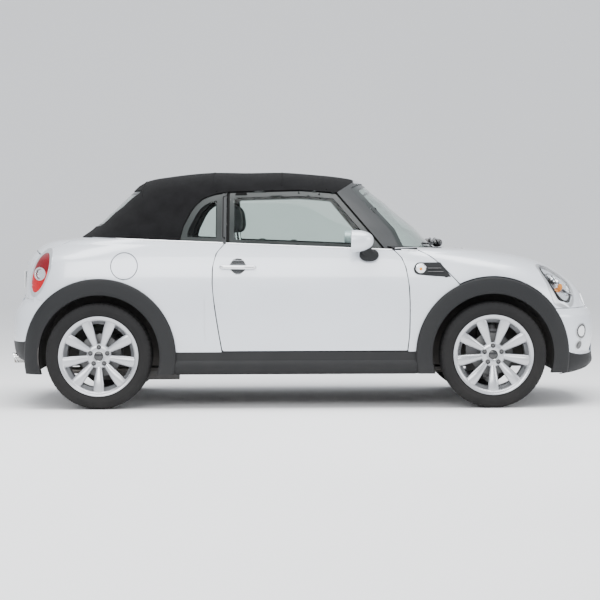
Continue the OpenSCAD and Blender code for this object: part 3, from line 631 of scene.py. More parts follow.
def finish(name, colour, rough, vary=0.06, fine=900.0, broad=3.0, bump=0.0, depth=0.0004,
           dust=0.0, dust_reach=0.6, weave=0.0, rough_vary=0.08, **shader):
    """A material: a colour that drifts a little, a roughness that follows the grain, a
    bumped surface of grain or weave, and dust low down. shader sets other sockets."""
    material = bpy.data.materials.new(name)
    material.use_nodes = True
    tree = material.node_tree
    tree.nodes.clear()
    skin = add(tree, "ShaderNodeBsdfPrincipled")
    out = add(tree, "ShaderNodeOutputMaterial")
    tree.links.new(skin.outputs[0], out.inputs["Surface"])
    for key, value in shader.items():
        skin.inputs[key.replace("_", " ")].default_value = value
    if weave:
        pattern = add(tree, "ShaderNodeGroup", node_tree=WEAVE)
        pattern.inputs["Threads"].default_value = weave
        height, tone = pattern.outputs["Height"], pattern.outputs["Tone"]
    else:
        pattern = add(tree, "ShaderNodeGroup", node_tree=GRAIN)
        pattern.inputs["Fineness"].default_value = fine
        pattern.inputs["Breadth"].default_value = broad
        height, tone = pattern.outputs["Fine"], pattern.outputs["Broad"]
    dark = [c * (1 - vary) for c in colour]
    light = [min(1, c * (1 + vary)) for c in colour]
    shade = ramp_between(tree, tone, 0.35, 0.65, dark, light)
    if dust:
        layer = add(tree, "ShaderNodeGroup", node_tree=DUST)
        layer.inputs["Reach"].default_value = dust_reach
        layer.inputs["Amount"].default_value = dust
        shade = over(tree, layer.outputs["Mask"], shade, (0.36, 0.33, 0.29))
    tree.links.new(shade, skin.inputs["Base Color"])
    gloss = add(tree, "ShaderNodeMapRange",
                {"Value": tone, "From Min": 0.3, "From Max": 0.7,
                 "To Min": max(0.02, rough - rough_vary), "To Max": min(1, rough + rough_vary)})
    tree.links.new(gloss.outputs["Result"], skin.inputs["Roughness"])
    if bump:
        relief = add(tree, "ShaderNodeBump",
                     {"Height": height, "Strength": bump, "Distance": depth})
        tree.links.new(relief.outputs["Normal"], skin.inputs["Normal"])
    return material


def glass(name, colour, rough=0.01, weight=1.0):
    """Clear or tinted glass, with faint smears in its roughness."""
    material = finish(name, colour, rough + 0.01, vary=0.01, rough_vary=0.01, broad=6.0)
    skin = material.node_tree.nodes["Principled BSDF"]
    skin.inputs["Transmission Weight"].default_value = weight
    skin.inputs["IOR"].default_value = 1.2
    return material


def make_finishes(paint):
    """Every finish of the car, by the maker's name for it."""
    body = list(paint.colour)
    return {
        "paint": finish("Silver paint", body, paint.roughness, vary=0.012, fine=4200.0,
                        bump=0.03, depth=0.00005, rough_vary=0.03, dust=0.05, Metallic=0.25,
                        Coat_Weight=1.0, Coat_Roughness=0.03),
        "trim": finish("Black moulded plastic", (0.0125, 0.013, 0.014), 0.6, vary=0.12,
                       fine=1500.0, bump=0.35, depth=0.0003, dust=0.03, dust_reach=0.75,
                       Specular_IOR_Level=0.22),
        "gloss_black": finish("Gloss black plastic", (0.012, 0.012, 0.013), 0.16, vary=0.1,
                              fine=300.0, bump=0.02, Coat_Weight=0.6, Coat_Roughness=0.05),
        "under": finish("Underbody coating", (0.018, 0.018, 0.019), 0.85, vary=0.25,
                        fine=260.0, bump=0.6, depth=0.0015, dust=0.35, dust_reach=0.9),
        "steel": finish("Painted chassis steel", (0.05, 0.05, 0.052), 0.5, vary=0.2,
                        fine=500.0, bump=0.25, depth=0.0006, dust=0.3),
        "cast": finish("Cast metal", (0.13, 0.13, 0.135), 0.5, vary=0.15, fine=420.0,
                       bump=0.4, depth=0.0008, dust=0.2, Metallic=0.8),
        "disc": finish("Brake disc steel", (0.13, 0.13, 0.13), 0.45, vary=0.12, fine=900.0,
                       bump=0.1, Metallic=0.8),
        "alloy": finish("Silver wheel lacquer", (0.47, 0.48, 0.50), 0.3, vary=0.03,
                        fine=2600.0, bump=0.04, depth=0.0001, dust=0.12, dust_reach=0.7,
                        Metallic=0.75, Coat_Weight=0.7, Coat_Roughness=0.08),
        "tyre": finish("Tyre rubber", (0.0085, 0.0085, 0.009), 0.78, vary=0.18, fine=700.0,
                       bump=0.3, depth=0.0006, dust=0.04, dust_reach=0.8,
                       Specular_IOR_Level=0.2),
        "chrome": finish("Bright chrome", (0.78, 0.79, 0.8), 0.09, vary=0.02, fine=200.0,
                         rough_vary=0.03, Metallic=1.0),
        "satin": finish("Satin silver", (0.55, 0.56, 0.57), 0.34, vary=0.03, fine=1500.0,
                        bump=0.05, Metallic=0.9),
        "fabric": finish("Roof fabric", (0.0065, 0.0065, 0.007), 0.95, vary=0.22, bump=0.7,
                         depth=0.0007, weave=1900.0, rough_vary=0.04, Sheen_Weight=0.02,
                         Specular_IOR_Level=0.08, Sheen_Roughness=0.5),
        "lining": finish("Roof lining", (0.10, 0.10, 0.105), 0.95, vary=0.1, bump=0.5,
                         depth=0.0005, weave=1500.0, rough_vary=0.03),
        "seat": finish("Upholstery cloth", (0.036, 0.037, 0.04), 0.9, vary=0.2, bump=0.8,
                       depth=0.0009, weave=1100.0, rough_vary=0.05, Sheen_Weight=0.25,
                       Sheen_Roughness=0.45),
        "seat_side": finish("Upholstery side leather", (0.022, 0.022, 0.024), 0.5, vary=0.15,
                            fine=420.0, bump=0.4, depth=0.0007),
        "cabin": finish("Cabin plastic", (0.04, 0.041, 0.044), 0.7, vary=0.12, fine=1100.0,
                        bump=0.45, depth=0.0004),
        "pillar": finish("Grey pillar paint", (0.033, 0.035, 0.036), 0.5, vary=0.05,
                         fine=1600.0, bump=0.05, Specular_IOR_Level=0.25),
        "frit": finish("Black glass edge", (0.014, 0.018, 0.017), 0.3, vary=0.1, fine=300.0,
                       bump=0.02, Specular_IOR_Level=0.35),
        "seal": finish("Window seal rubber", (0.008, 0.008, 0.008), 0.85, vary=0.15,
                       fine=700.0, bump=0.1, Specular_IOR_Level=0.15),
        "window": glass("Window glass", (0.75, 0.83, 0.795)),
        "clear": glass("Clear lamp lens", (0.97, 0.98, 0.99)),
        "red": glass("Red lamp lens", (0.72, 0.02, 0.03), 0.05, 0.55),
        "dark_red": glass("Dark red lamp lens", (0.30, 0.02, 0.03), 0.06, 0.5),
        "amber": glass("Amber lamp lens", (0.95, 0.36, 0.03), 0.06, 0.5),
        "reflector": finish("Lamp reflector", (0.85, 0.86, 0.88), 0.14, vary=0.04,
                            fine=120.0, bump=0.1, Metallic=0.9),
        "white": finish("White lamp plastic", (0.82, 0.83, 0.84), 0.3, vary=0.03, fine=260.0,
                        bump=0.08, Coat_Weight=0.5),
        "engine": finish("Engine castings", (0.16, 0.16, 0.17), 0.5, vary=0.25, fine=160.0,
                         bump=0.5, depth=0.002, Metallic=0.6, dust=0.3),
        "exhaust": finish("Exhaust steel", (0.30, 0.28, 0.26), 0.42, vary=0.2, fine=300.0,
                          bump=0.2, Metallic=0.9, dust=0.3),
        "leather": finish("Steering leather", (0.017, 0.017, 0.018), 0.48, vary=0.15,
                          fine=600.0, bump=0.4, depth=0.0006),
        "mirror": finish("Mirror glass", (0.72, 0.75, 0.77), 0.03, vary=0.01, rough_vary=0.01,
                         Metallic=1.0),
        "plate": finish("Blank number plate", (0.72, 0.72, 0.70), 0.4, vary=0.04, fine=300.0,
                        bump=0.05),
    }


M = {}


# ---------- painted panels ----------
SKIN = 1.8                      # thickness of a painted skin over its CAD panel, in mm


def panel(grid, depth, raise_by=SKIN, wall=SKIN):
    """Trims a patch to depth > 0, lifts it off the hull and gives it a thickness."""
    return thick(raised(facing_out(trimmed(grid, depth)), raise_by), wall)


def door_depth(p):
    x, z = p[..., 0], p[..., 2]
    sides = np.minimum(x - curve(DOOR_REAR, z), curve(DOOR_FRONT, z) - x)
    return np.minimum(np.minimum(sides, belt(x) - z), z - SILL_TOP)


def wing_depth(p):
    x, z = p[..., 0], p[..., 2]
    back = np.minimum(x - curve(DOOR_FRONT, z) - SHUT_GAP,
                      curve(BONNET_LINE, z) - 1.45 * SHUT_GAP - x)
    low = np.minimum(outside_circle(p, FRONT_X, TYRE_R, TRIM_R), z - SILL_TOP + SHUT_GAP)
    return np.minimum(np.minimum(back, low), belt(x) - z)


def quarter_depth(p):
    x, y, z = p[..., 0], p[..., 1], p[..., 2]
    foot = np.where(x < REAR_X, z - BUMPER_TOP_REAR - 1, z - SILL_TOP + SHUT_GAP)
    ends = np.minimum(curve(DOOR_REAR, z) - SHUT_GAP - x, np.abs(y) - GATE_HALF - SHUT_GAP)
    ends = np.where(x > -1300, curve(DOOR_REAR, z) - SHUT_GAP - x, ends)
    holes = np.minimum(outside_circle(p, FLAP_X, FLAP_Z, FLAP_R + 5),
                       ellipse(p, *TAIL_LAMP, 136, 52, TAIL_LAMP_TURN))
    arch = outside_circle(p, REAR_X, TYRE_R, TRIM_R)
    return np.minimum.reduce([foot, ends, holes, arch, belt(x) - z])


def bonnet_depth(p):
    x, z = p[..., 0], p[..., 2]
    rear = np.minimum(x - curve(BONNET_LINE, z), outside_foot(p, 60))
    low = np.minimum(z - BUMPER_TOP_FRONT, outside_circle(p, FRONT_X, TYRE_R,
                                                          TRIM_R + SHUT_GAP))
    mouth = inside([(-400, 500), (400, 500), (306, 600), (290, 668), (250, 690), (-250, 690),
                    (-290, 668), (-306, 600)], p[..., 1], z)
    mouth = np.where(x > 1500, -mouth, 100)
    lamp = np.where(x > 1200, from_lamp_axis(p) - LAMP_R - SHUT_GAP, 100)
    return np.minimum.reduce([rear, low, mouth, lamp])


def front_bumper_depth(p):
    x, y, z = p[..., 0], np.abs(p[..., 1]), p[..., 2]
    chin = z - curve(CHIN, x)
    mouth = np.where(x > 1500, -inside([(-330, 380), (-300, 360), (300, 360), (330, 380),
                                        (330, 500), (300, 520), (-300, 520), (-330, 500)],
                                       p[..., 1], z), 100)
    fog = np.minimum(np.hypot(y - 640, z - 456) - 50, np.hypot(y - 652, z - 372) - 30)
    fog = np.where(x > 1500, fog, 100)
    arch = outside_circle(p, FRONT_X, TYRE_R, TRIM_R)
    return np.minimum.reduce([chin, mouth, fog, arch, BUMPER_TOP_FRONT - 4 - z, x - FRONT_X])


def rear_bumper_depth(p):
    arch = outside_circle(p, REAR_X, TYRE_R, TRIM_R)
    return np.minimum.reduce([p[..., 2] - curve(VALANCE, p[..., 0]), arch,
                              BUMPER_TOP_REAR - 3 - p[..., 2], REAR_X - p[..., 0]])


def tailgate_depth(p):
    reach = GATE_R - np.hypot(p[..., 0] - GATE_HINGE[0], p[..., 2] - GATE_HINGE[1])
    return np.minimum.reduce([GATE_HALF - np.abs(p[..., 1]), p[..., 2] - GATE_LOW, reach])


def deck_depth(p):
    reach = np.hypot(p[..., 0] - GATE_HINGE[0], p[..., 2] - GATE_HINGE[1])
    return np.minimum(GATE_HALF - np.abs(p[..., 1]), reach - GATE_R - SHUT_GAP)


def build_panels(M):
    """The painted skins. Each lies on its CAD panel, whose sides show in the shut lines."""
    wing = panel(side_patch(BODY, 530, 1180, 330, 975, 9), wing_depth)
    put("wing_skins", (pair(wing), M["paint"]), "car_body")
    door = panel(side_patch(BODY, -565, 655, 340, 1012, 11), door_depth)
    put("door_skin_right", (door, M["paint"]), "right_door")
    put("door_skin_left", (mirrored(door), M["paint"]), "left_door")
    heights = rows_along(TAIL, 340, 1046, 11)
    quarter = panel(end_patch(BODY, 1, heights, 190, whole=False), quarter_depth)
    ahead = panel(side_patch(BODY, -604, -455, 340, 1012, 9), quarter_depth)
    put("quarter_skins", [(pair(quarter), M["paint"]), (pair(ahead), M["paint"])],
        "car_body")
    bonnet = panel(end_patch(BODY, 0, rows_along(NOSE, 596, 975, 14), 170), bonnet_depth)
    put("bonnet_skin", (bonnet, M["paint"]), "bonnet_lid")
    front = panel(end_patch(BODY, 0, rows_along(NOSE, 300, 600, 8), 170), front_bumper_depth)
    rear = panel(end_patch(BODY, 1, rows_along(TAIL, 385, 664, 8), 170), rear_bumper_depth)
    put("bumper_skins", [(front, M["paint"]), (rear, M["paint"])], "car_body")
    gate = panel(end_patch(BODY, 1, rows_along(TAIL, 665, 1030, 9), 150), tailgate_depth)
    put("tailgate_skin", (gate, M["paint"]), "tail_gate")
    deck = panel(end_patch(BODY, 1, rows_along(TAIL, 940, 1047, 10), 140), deck_depth)
    put("rear_deck_skin", (deck, M["paint"]), "car_body")
    flap = panel(side_patch(BODY, FLAP_X - 100, FLAP_X + 100, FLAP_Z - 100, FLAP_Z + 100, 6),
                 lambda p: FLAP_R - 1 - np.hypot(p[..., 0] - FLAP_X, p[..., 2] - FLAP_Z))
    put("fuel_flap_skin", (flap, M["paint"]), "fuel_door")


# ---------- black trim ----------
def arch_flare(x_axle):
    """A flare: a closed section of (radius, distance off the body) carried round the
    wheel's arch, cut level at its lower ends."""
    section = np.array([(TRIM_R, 0), (TRIM_R + 1, 12), (TRIM_R - 4, 21), (TRIM_R - 12, 25),
                        (TRIM_R - 40, 26), (ARCH_R + 26, 26), (ARCH_R + 9, 24),
                        (ARCH_R + 1, 18), (ARCH_R - 0.5, 8), (ARCH_R, -42), (ARCH_R + 6, -43),
                        (ARCH_R + 10, 2), (TRIM_R - 10, -4)])
    r, off = section.T
    low = np.arcsin((SILL_LOW + 3 - TYRE_R) / r)
    share = np.linspace(0, 1, 121)[:, None]
    angle = low + (np.pi - 2 * low) * share
    x, z = x_axle + r * np.cos(angle), TYRE_R + r * np.sin(angle)
    y = -half_width(BODY, x, np.full(x.shape, 450.0)) - off * (TRIM_HALF - BODY_HALF) / off.max()
    return capped(grid_shape(np.stack([x, y, z], -1), wrap_columns=True), *x.shape)


def chin_depth(p):
    x, z = p[..., 0], p[..., 2]
    arch = outside_circle(p, FRONT_X, TYRE_R, TRIM_R - 12)
    return np.minimum.reduce([curve(CHIN, x) - 2 - z, arch, z - 185, x - FRONT_X])


def valance_depth(p):
    arch = outside_circle(p, REAR_X, TYRE_R, TRIM_R - 12)
    return np.minimum.reduce([curve(VALANCE, p[..., 0]) - 2 - p[..., 2], arch,
                              p[..., 2] - 185, REAR_X - p[..., 0]])


def build_black_trim(M):
    """Arch flares, sills, the chin and valance, the cowl and the scuttle pods."""
    flares = [(pair(arch_flare(x)), M["trim"]) for x in (FRONT_X, REAR_X)]
    put("arch_flares", flares, "car_body", ["wheel_arch_trims"])
    chin = panel(end_patch(BODY, 0, rows_along(NOSE, 183, 430, 11), 150), chin_depth, 2, 3)
    tail = panel(end_patch(BODY, 1, rows_along(TAIL, 186, 590, 11), 150), valance_depth, 2, 3)
    put("chin_and_valance", [(chin, M["trim"]), (tail, M["trim"])], "car_body")
    # the sill's section: distance out from the middle of the car, and height
    ends = (REAR_X + ARCH_R + 60, FRONT_X - ARCH_R - 60)
    section = np.array([(790, SILL_TOP - 2), (803, SILL_TOP - 3), (808, SILL_TOP - 10),
                        (809, 318), (812, 300), (822, 288), (829, 276), (829, 262),
                        (820, 236), (800, 215), (770, SILL_LOW), (700, SILL_LOW),
                        (700, SILL_TOP - 20)])
    path = np.array([(x, 0, 0) for x in np.linspace(*ends, 24)])
    sill = sweep(path, section)
    put("sill_trims", (pair(sill), M["trim"]), "car_body")
    build_cowl(M)
    build_scuttle_pods(M)


def foot_point(angle, grow, lift=0.0):
    """A point round the windscreen's foot at an angle from the middle of the car, on the
    body's top surface."""
    ahead = np.clip(np.cos(angle), 0, 1) ** (2 / 6)
    x = FOOT_X + (FOOT_REACH + grow) * ahead
    y = -(FOOT_HALF + grow) * np.sin(angle) ** (2 / PLAN_POWER)
    inner_x = FOOT_X + (FOOT_REACH + 62) * ahead
    z = body_top(inner_x, np.abs(y)) + lift
    return np.stack([x, y, z], -1)


def foot_row(grow, lift, count=60, widest=0.74):
    """Right half of the foot's curve from the side to the middle, evenly spaced."""
    angle = np.linspace(np.pi / 2 * widest, 0, 400)
    points = foot_point(angle, grow, lift)
    run = np.concatenate([[0], np.cumsum(np.linalg.norm(np.diff(points, axis=0), axis=1))])
    at = np.linspace(0, run[-1], count)
    return np.stack([np.interp(at, run, points[:, i]) for i in range(3)], -1)


def build_cowl(M):
    """The black panel at the windscreen's foot, with slots, and a pale edge before it."""
    steps = [(54, -6), (50, -1), (40, 1), (20, 3), (0, 5), (-14, 6), (-26, -4)]
    rows = np.array([foot_row(grow, lift) for grow, lift in steps])
    sheet = facing_out(grid_shape(both_sides(rows)), (0, 0, 0))
    slots = []
    for y in np.arange(-420, 421, 24.0):
        x = float(end_x(CABIN, 0, y, 972.0)) + 26
        z = float(body_top(np.array([x + 40.0]), np.array([abs(y)]))[0]) + 6
        slots.append(soft_box((x - 15, y - 4, z - 4), (x + 15, y + 4, z + 1.5), 1.5, 4))
    put("cowl_panel", [(thick(sheet, 3), M["trim"]), (joined(*slots), M["gloss_black"])],
        "car_body")
    edge = foot_row(56, 1.5, 90)
    edge = np.concatenate([edge, edge[-2::-1] * [1, -1, 1]])
    put("cowl_edge_strip", (sweep(edge, oval(7, 6, 10)), M["satin"]), "car_body")


POD = [(704, 884), (690, 879), (678, 866), (672, 849), (673, 832), (682, 818), (700, 811),
       (770, 803), (868, 797), (900, 797), (834, 884)]


def build_scuttle_pods(M):
    """The black pod behind each front wheel: a raised plate with two ribs and a lens."""
    grid = side_patch(BODY, 655, 925, 780, 900, 5)
    plate = panel(grid, lambda p: inside(POD, p[..., 0], p[..., 2]), 6, 6)
    ribs = []
    for z in (850, 829):
        x = np.linspace(756, 872 - (z - 797) * 0.62, 20)
        y = -half_width(BODY, x, np.full(20, float(z))) - 8
        ribs.append(sweep(np.stack([x, y, np.full(20, float(z))], -1), oval(9, 7, 10)))
    parts = [(pair(plate), M["trim"]), (pair(joined(*ribs)), M["gloss_black"])]
    for size, rise, finish_name in ((33, 7.5, "chrome"), (27, 11, "white"), (11, 13, "amber")):
        y = -float(half_width(BODY, np.array([715.0]), np.array([846.0]))[0]) - rise + 3
        parts.append((pair(pebble((715, y, 846), (size, 6, size), 0.9, 32)), M[finish_name]))
    put("scuttle_pods", parts, "car_body")


# ---------- fabric top ----------
def dome(step_rows=22, columns=240):
    """The cabin's hull as one sheet, from the windscreen round each side to the back:
    a row for each height, closed at its highest point."""
    heights = rows_along(ROOF_WIDTH, 985, 1457.5, step_rows)
    front = end_patch(CABIN, 0, heights, columns // 2, whole=False)
    rear = end_patch(CABIN, 1, heights, columns // 2, whole=False)
    half = np.concatenate([rear[:, ::-1], front[:, 1:]], 1)
    half[:, 0, 1] = half[:, -1, 1] = 0
    ridge = half[-1:] * [1, 0, 1] + [0, 0, 0.4]
    half = np.concatenate([half, ridge])
    return np.concatenate([half, half[:, -2:0:-1] * [1, -1, 1]], 1)


def inside_rear_window(p):
    """Distance inside the rear window's opening, an upright rectangle from behind."""
    return np.minimum(REAR_WINDOW_HALF - np.abs(p[..., 1]),
                      REAR_WINDOW_RISE - np.abs(p[..., 2] - REAR_WINDOW_Z))


def roof_depth(p):
    x, z = p[..., 0], p[..., 2]
    header = np.minimum(HEADER_X - x, (z - (1319 + (x - 211) * 0.635))
                        + np.where(x < 211, 900, 0))
    opening = -inside(WINDOW_TOP, x, z)
    window = np.where(x < -1000, -inside_rear_window(p), 100)
    return np.minimum.reduce([header, opening, window, z - belt(x) - 3])


BOWS = (-1043, -560, -130, 315)


def build_soft_top(M):
    """The fabric top: one sheet that sags a little between its bows, a lining inside it
    and a seam over each bow but the first and last."""
    grid = dome()
    sheet = facing_out(trimmed(np.concatenate([grid, grid[:, :1]], 1), roof_depth))
    x, z = sheet[0][:, 0], sheet[0][:, 2]
    sag = np.zeros(len(x))
    for rear, front in zip(BOWS[:-1], BOWS[1:]):
        share = np.clip((x - rear) / (front - rear), 0, 1)
        sag = sag + 4 * np.sin(np.pi * share) ** 2
    upper = np.clip((z - 1290) / 120, 0, 1)
    ridge = 3 * np.exp(-((x + 1043 + (z - 1376) * 1.15) / 16) ** 2)
    wave = 1.2 * np.sin(x / 37 + z / 23) * np.clip((1350 - z) / 120, 0, 1)
    outer = raised(sheet, 1.5 - sag * upper + ridge * upper + wave)
    canopy = put("fabric_top", (thick(outer, 4), M["fabric"]), "car_body",
                 ["soft_top"], sharp=55)
    middle = np.stack([np.clip(x, -850, 150), 0 * x, 0 * x + 850], -1)
    inward = middle - sheet[0]
    inner = (sheet[0] + 15 * inward / np.linalg.norm(inward, axis=1, keepdims=True), sheet[1])
    lining = put("roof_lining", (thick(inner, 2.5), M["lining"]), "car_body",
                 sharp=55)
    seams = []
    for station, low in ((-1000, 1290), (-560, 1330), (-130, 1340)):
        y = np.linspace(-1, 1, 61)
        heights = np.linspace(low, 1458, 200)
        width = half_width(CABIN, np.full(200, float(station)), heights)
        heights, width = heights[width > 2], width[width > 2]
        wide = np.clip(y, -1, 1) * width.max() * 0.97
        at = np.interp(np.abs(wide), width[::-1], heights[::-1])
        path = np.stack([np.full(61, float(station)), wide, at + 3], -1)
        seams.append(sweep(path, oval(7, 3, 8)))
    put("roof_seams", (joined(*seams), M["fabric"]), "car_body")


# ---------- glass ----------
DOOR_GLASS = [(-452, 1003), (490.8, 962.9), (490.8, 969.9), (205.8, 1312), (90, 1322),
              (-18, 1329), (-452, 1319)]
QUARTER_GLASS = [(-496, 1005), (-757, 1016.5), (-733, 1110), (-686, 1202), (-655, 1245),
                 (-617, 1277), (-578, 1295), (-535, 1307), (-496, 1313)]
SCREEN_EDGE = [(601, 950), (545.7, 1075), (300.7, 1347), (392.7, 1390), (420, 1600),
               (1200, 1600), (1200, 930)]


def pane(grid, outline, inset, wall=4, band=24):
    """Glass set in from its hull, and the black band printed round its edge just inside."""
    depth = lambda p: inside(outline, p[..., 0], p[..., 2])
    glass_sheet = facing_out(trimmed(grid, lambda p: depth(p) - 0.5))
    edge = facing_out(trimmed(grid, lambda p: np.minimum(depth(p) - 1, band - depth(p))))
    return thick(raised(glass_sheet, -inset), wall), thick(raised(edge, -inset + 0.8), 0.6)


def build_glass(M):
    """Every window, each with its dark printed edge, and the windscreen's frame."""
    side = side_patch(CABIN, -520, 520, 940, 1345, 9)
    pane_glass, band = pane(side, DOOR_GLASS, 6, 4, 30)
    for s, turn in (("right", lambda q: q), ("left", mirrored)):
        put("door_pane_" + s, [(turn(pane_glass), M["window"]), (turn(band), M["frit"])],
            s + "_door", ["door_glass_" + s])
    quarter = side_patch(CABIN, -790, -470, 990, 1330, 8)
    pane_glass, band = pane(quarter, QUARTER_GLASS, 6, 4, 34)
    put("quarter_panes", [(pair(pane_glass), M["window"]), (pair(band), M["frit"])],
        "car_body", ["quarter_windows"])
    seals = []
    for grid, outline in ((side, DOOR_GLASS), (quarter, QUARTER_GLASS)):
        depth = lambda p: inside(outline, p[..., 0], p[..., 2])
        seals.append(panel(grid, lambda p: np.minimum.reduce([
            depth(p) + 14, 16 - depth(p), p[..., 2] - belt(p[..., 0]) - 14]), -12, 3))
    put("window_seals", (pair(joined(*seals)), M["seal"]), "car_body")
    divider = panel(quarter, lambda p: inside([(-500, 1006), (-456, 1004), (-456, 1318),
                                               (-500, 1314)], p[..., 0], p[..., 2]), -2, 5)
    put("window_dividers", (pair(divider), M["pillar"]), "car_body")
    front = end_patch(CABIN, 0, rows_along(SCREEN, 945, 1432, 14), 140)
    shield, band = pane(front, SCREEN_EDGE, 4, 4, 30)
    put("windscreen_pane", [(shield, M["window"]), (band, M["frit"])], "car_body",
        ["windscreen"])
    frame_skin = panel(front, lambda p: np.minimum(inside(PILLAR, p[..., 0], p[..., 2]),
                                                   p[..., 2] - belt(p[..., 0]) - 3), 1, 1)
    put("windscreen_frame_skin", (frame_skin, M["pillar"]), "car_body")
    header = panel(front, lambda p: inside([(318, 1376), (326, 1420), (396, 1420),
                                            (386, 1376)], p[..., 0], p[..., 2]), 3, 2)
    put("header_strip", (header, M["satin"]), "car_body")
    back = end_patch(CABIN, 1, rows_along(BACK, 1095, 1390, 10), 120)
    rear_pane = facing_out(trimmed(back, lambda p: inside_rear_window(p) + 6))
    rear_band = facing_out(trimmed(back, lambda p: np.minimum(
        inside_rear_window(p) + 6, 20 - inside_rear_window(p))))
    put("rear_pane", [(thick(raised(rear_pane, -5), 4), M["window"]),
                      (thick(raised(rear_band, -4.2), 0.6), M["frit"])],
        "car_body", ["rear_window"])
    wires = []
    for z in np.arange(1140, 1320, 21.0):
        y = np.linspace(-400, 400, 50)
        x = end_x(CABIN, 1, y, np.full(50, z))
        wires.append(sweep(np.stack([x + 9, y, np.full(50, z)], -1), oval(1.2, 1.2, 6)))
    put("rear_heater_wires", (joined(*wires), M["frit"]), "car_body")


# ---------- lamps ----------
def lamp_patch():
    """The bonnet's surface round the headlights, right half."""
    heights = rows_along(NOSE, 600, 905, 6)
    return end_patch(BODY, 0, heights, 300, whole=False)[:, 90:]


def lamp_ring(grid, outer, inner, rise, wall):
    depth = lambda p: np.minimum(outer - from_lamp_axis(p), from_lamp_axis(p) - inner)
    return thick(raised(facing_out(trimmed(grid, depth)), rise), wall)


def lamp_axes():
    """A headlight's middle on the body's surface, and its outward, up and side lines."""
    z = 757.0
    y = -float(LAMP_AT[1])
    at = np.array([float(end_x(BODY, 0, y, z)), y, z])
    d = 6.0
    du = np.array([end_x(BODY, 0, y, z + d) - end_x(BODY, 0, y, z - d), 0, 2 * d], float)
    ds = np.array([end_x(BODY, 0, y - d, z) - end_x(BODY, 0, y + d, z), -2 * d, 0], float)
    up, side = du / np.linalg.norm(du), ds / np.linalg.norm(ds)
    out = np.cross(side, up)
    out = out / np.linalg.norm(out)
    return at, out * np.sign(out[0]), up, side


def bowl(at, out, up, side, radius, deep, lip=0.0, count=36):
    """A dish: depth goes with the square of the distance from its middle, with a lip."""
    r = np.linspace(0.02, 1, 14)[:, None] * radius
    a = np.arange(count)[None] * 2 * np.pi / count
    inward = deep * (1 - (r / radius) ** 2) - lip
    grid = (np.array(at) + r[..., None] * (np.cos(a)[..., None] * up
                                           + np.sin(a)[..., None] * side)
            - inward[..., None] * np.array(out) * np.ones_like(a)[..., None])
    points, faces = grid_shape(grid, wrap_columns=True)
    i = np.arange(count)
    fan = np.stack([(i + 1) % count, i, np.full(count, len(points))], -1)
    sheet = (np.concatenate([points, [points[:count].mean(0)]]), faces + [fan])
    turned_out = (normals_of(sheet) @ np.array(out)).mean() > 0
    return sheet if turned_out else (sheet[0], [f[:, ::-1] for f in sheet[1]])


def build_headlights(M):
    """Each headlight: a bright ring on the bonnet, and behind the clear lens a reflector,
    a projector, a round lower bowl and an amber indicator."""
    grid = lamp_patch()
    ring = lamp_ring(grid, LAMP_R + 27, LAMP_R + 9, 5, 6)
    put("headlight_rings", (pair(ring), M["satin"]), "bonnet_lid")
    seal = lamp_ring(grid, LAMP_R + 1.5, LAMP_R - 5, 3, 8)
    away = lambda p: LAMP_R - 3 - from_lamp_axis(p)
    lens = facing_out(trimmed(grid, away))
    bulge = 1 - (from_lamp_axis(lens[0]) / LAMP_R) ** 2
    back = thick(raised(lens, -3 - 30 * bulge), 2)
    lens = thick(raised(lens, 5 + 8 * bulge), 3)
    at, out, up, side = lamp_axes()
    parts = [(pair(seal), M["gloss_black"]), (pair(lens), M["clear"]),
             (pair(back), M["reflector"])]
    for u, s, size, deep, finish_name in (
            (44, 6, 47, 26, "gloss_black"), (44, 6, 41, 18, "chrome"),
            (-62, -12, 44, 14, "reflector")):
        spot = at + up * u + side * s - out * (12 if u > 0 else 8)
        parts.append((pair(thick(bowl(spot, out, up, side, size, deep), 2)), M[finish_name]))
    eye = at + up * 44 + side * 6 - out * 24
    parts.append((pair(pebble(eye, (28, 28, 28), 1.0, 28)), M["clear"]))
    amber = at - up * 34 + side * 42 - out * 14
    parts.append((pair(pebble(amber, (15, 24, 22), 0.9, 20)), M["amber"]))
    bulb = at - up * 62 - side * 12 - out * 12
    parts.append((pair(pebble(bulb, (12, 12, 12), 1.0, 20)), M["white"]))
    for k in range(5):
        spot = at + up * (78 - 18 * k) + side * (70 - 4 * k * k / 2) - out * 10
        parts.append((pair(pebble(spot, (6, 7, 7), 1.0, 12)), M["gloss_black"]))
    put("headlight_units", parts, "car_body", ["headlights"])


def build_tail_lights(M):
    """Each tail light: a bright ring, dark red glass above, a pale round lamp in its own
    ring in the middle, and bright red glass below."""
    heights = rows_along(TAIL, 670, 985, 5)
    grid = end_patch(BODY, 1, heights, 400, whole=False)[:, :315]
    away = lambda p: -ellipse(p, *TAIL_LAMP, 134, 50, TAIL_LAMP_TURN)
    glassy = lambda p: away(p) - 2.5
    from_eye = lambda p: outside_circle(p, *TAIL_EYE, TAIL_EYE_R)
    middle = lambda p: np.minimum(glassy(p), -from_eye(p))
    ring = panel(grid, lambda p: np.minimum(away(p) + 8, 3 - away(p)), 6, 8)
    dark = panel(grid, lambda p: np.minimum.reduce(
        [glassy(p), p[..., 2] - TAIL_SPLIT_Z, from_eye(p)]), 4, 6)
    low = panel(grid, lambda p: np.minimum.reduce(
        [glassy(p), TAIL_SPLIT_Z - p[..., 2], from_eye(p)]), 4, 6)
    halo = panel(grid, lambda p: np.minimum(middle(p), 8 - middle(p)), 7, 6)
    eye = panel(grid, lambda p: middle(p) - 8, 5, 5)
    back = panel(grid, lambda p: away(p) - 1, -6, 2)
    parts = [(pair(ring), M["chrome"]), (pair(dark), M["dark_red"]), (pair(low), M["red"]),
             (pair(halo), M["chrome"]), (pair(eye), M["clear"]), (pair(back), M["reflector"])]
    put("tail_light_units", parts, "car_body", ["tail_lights"])


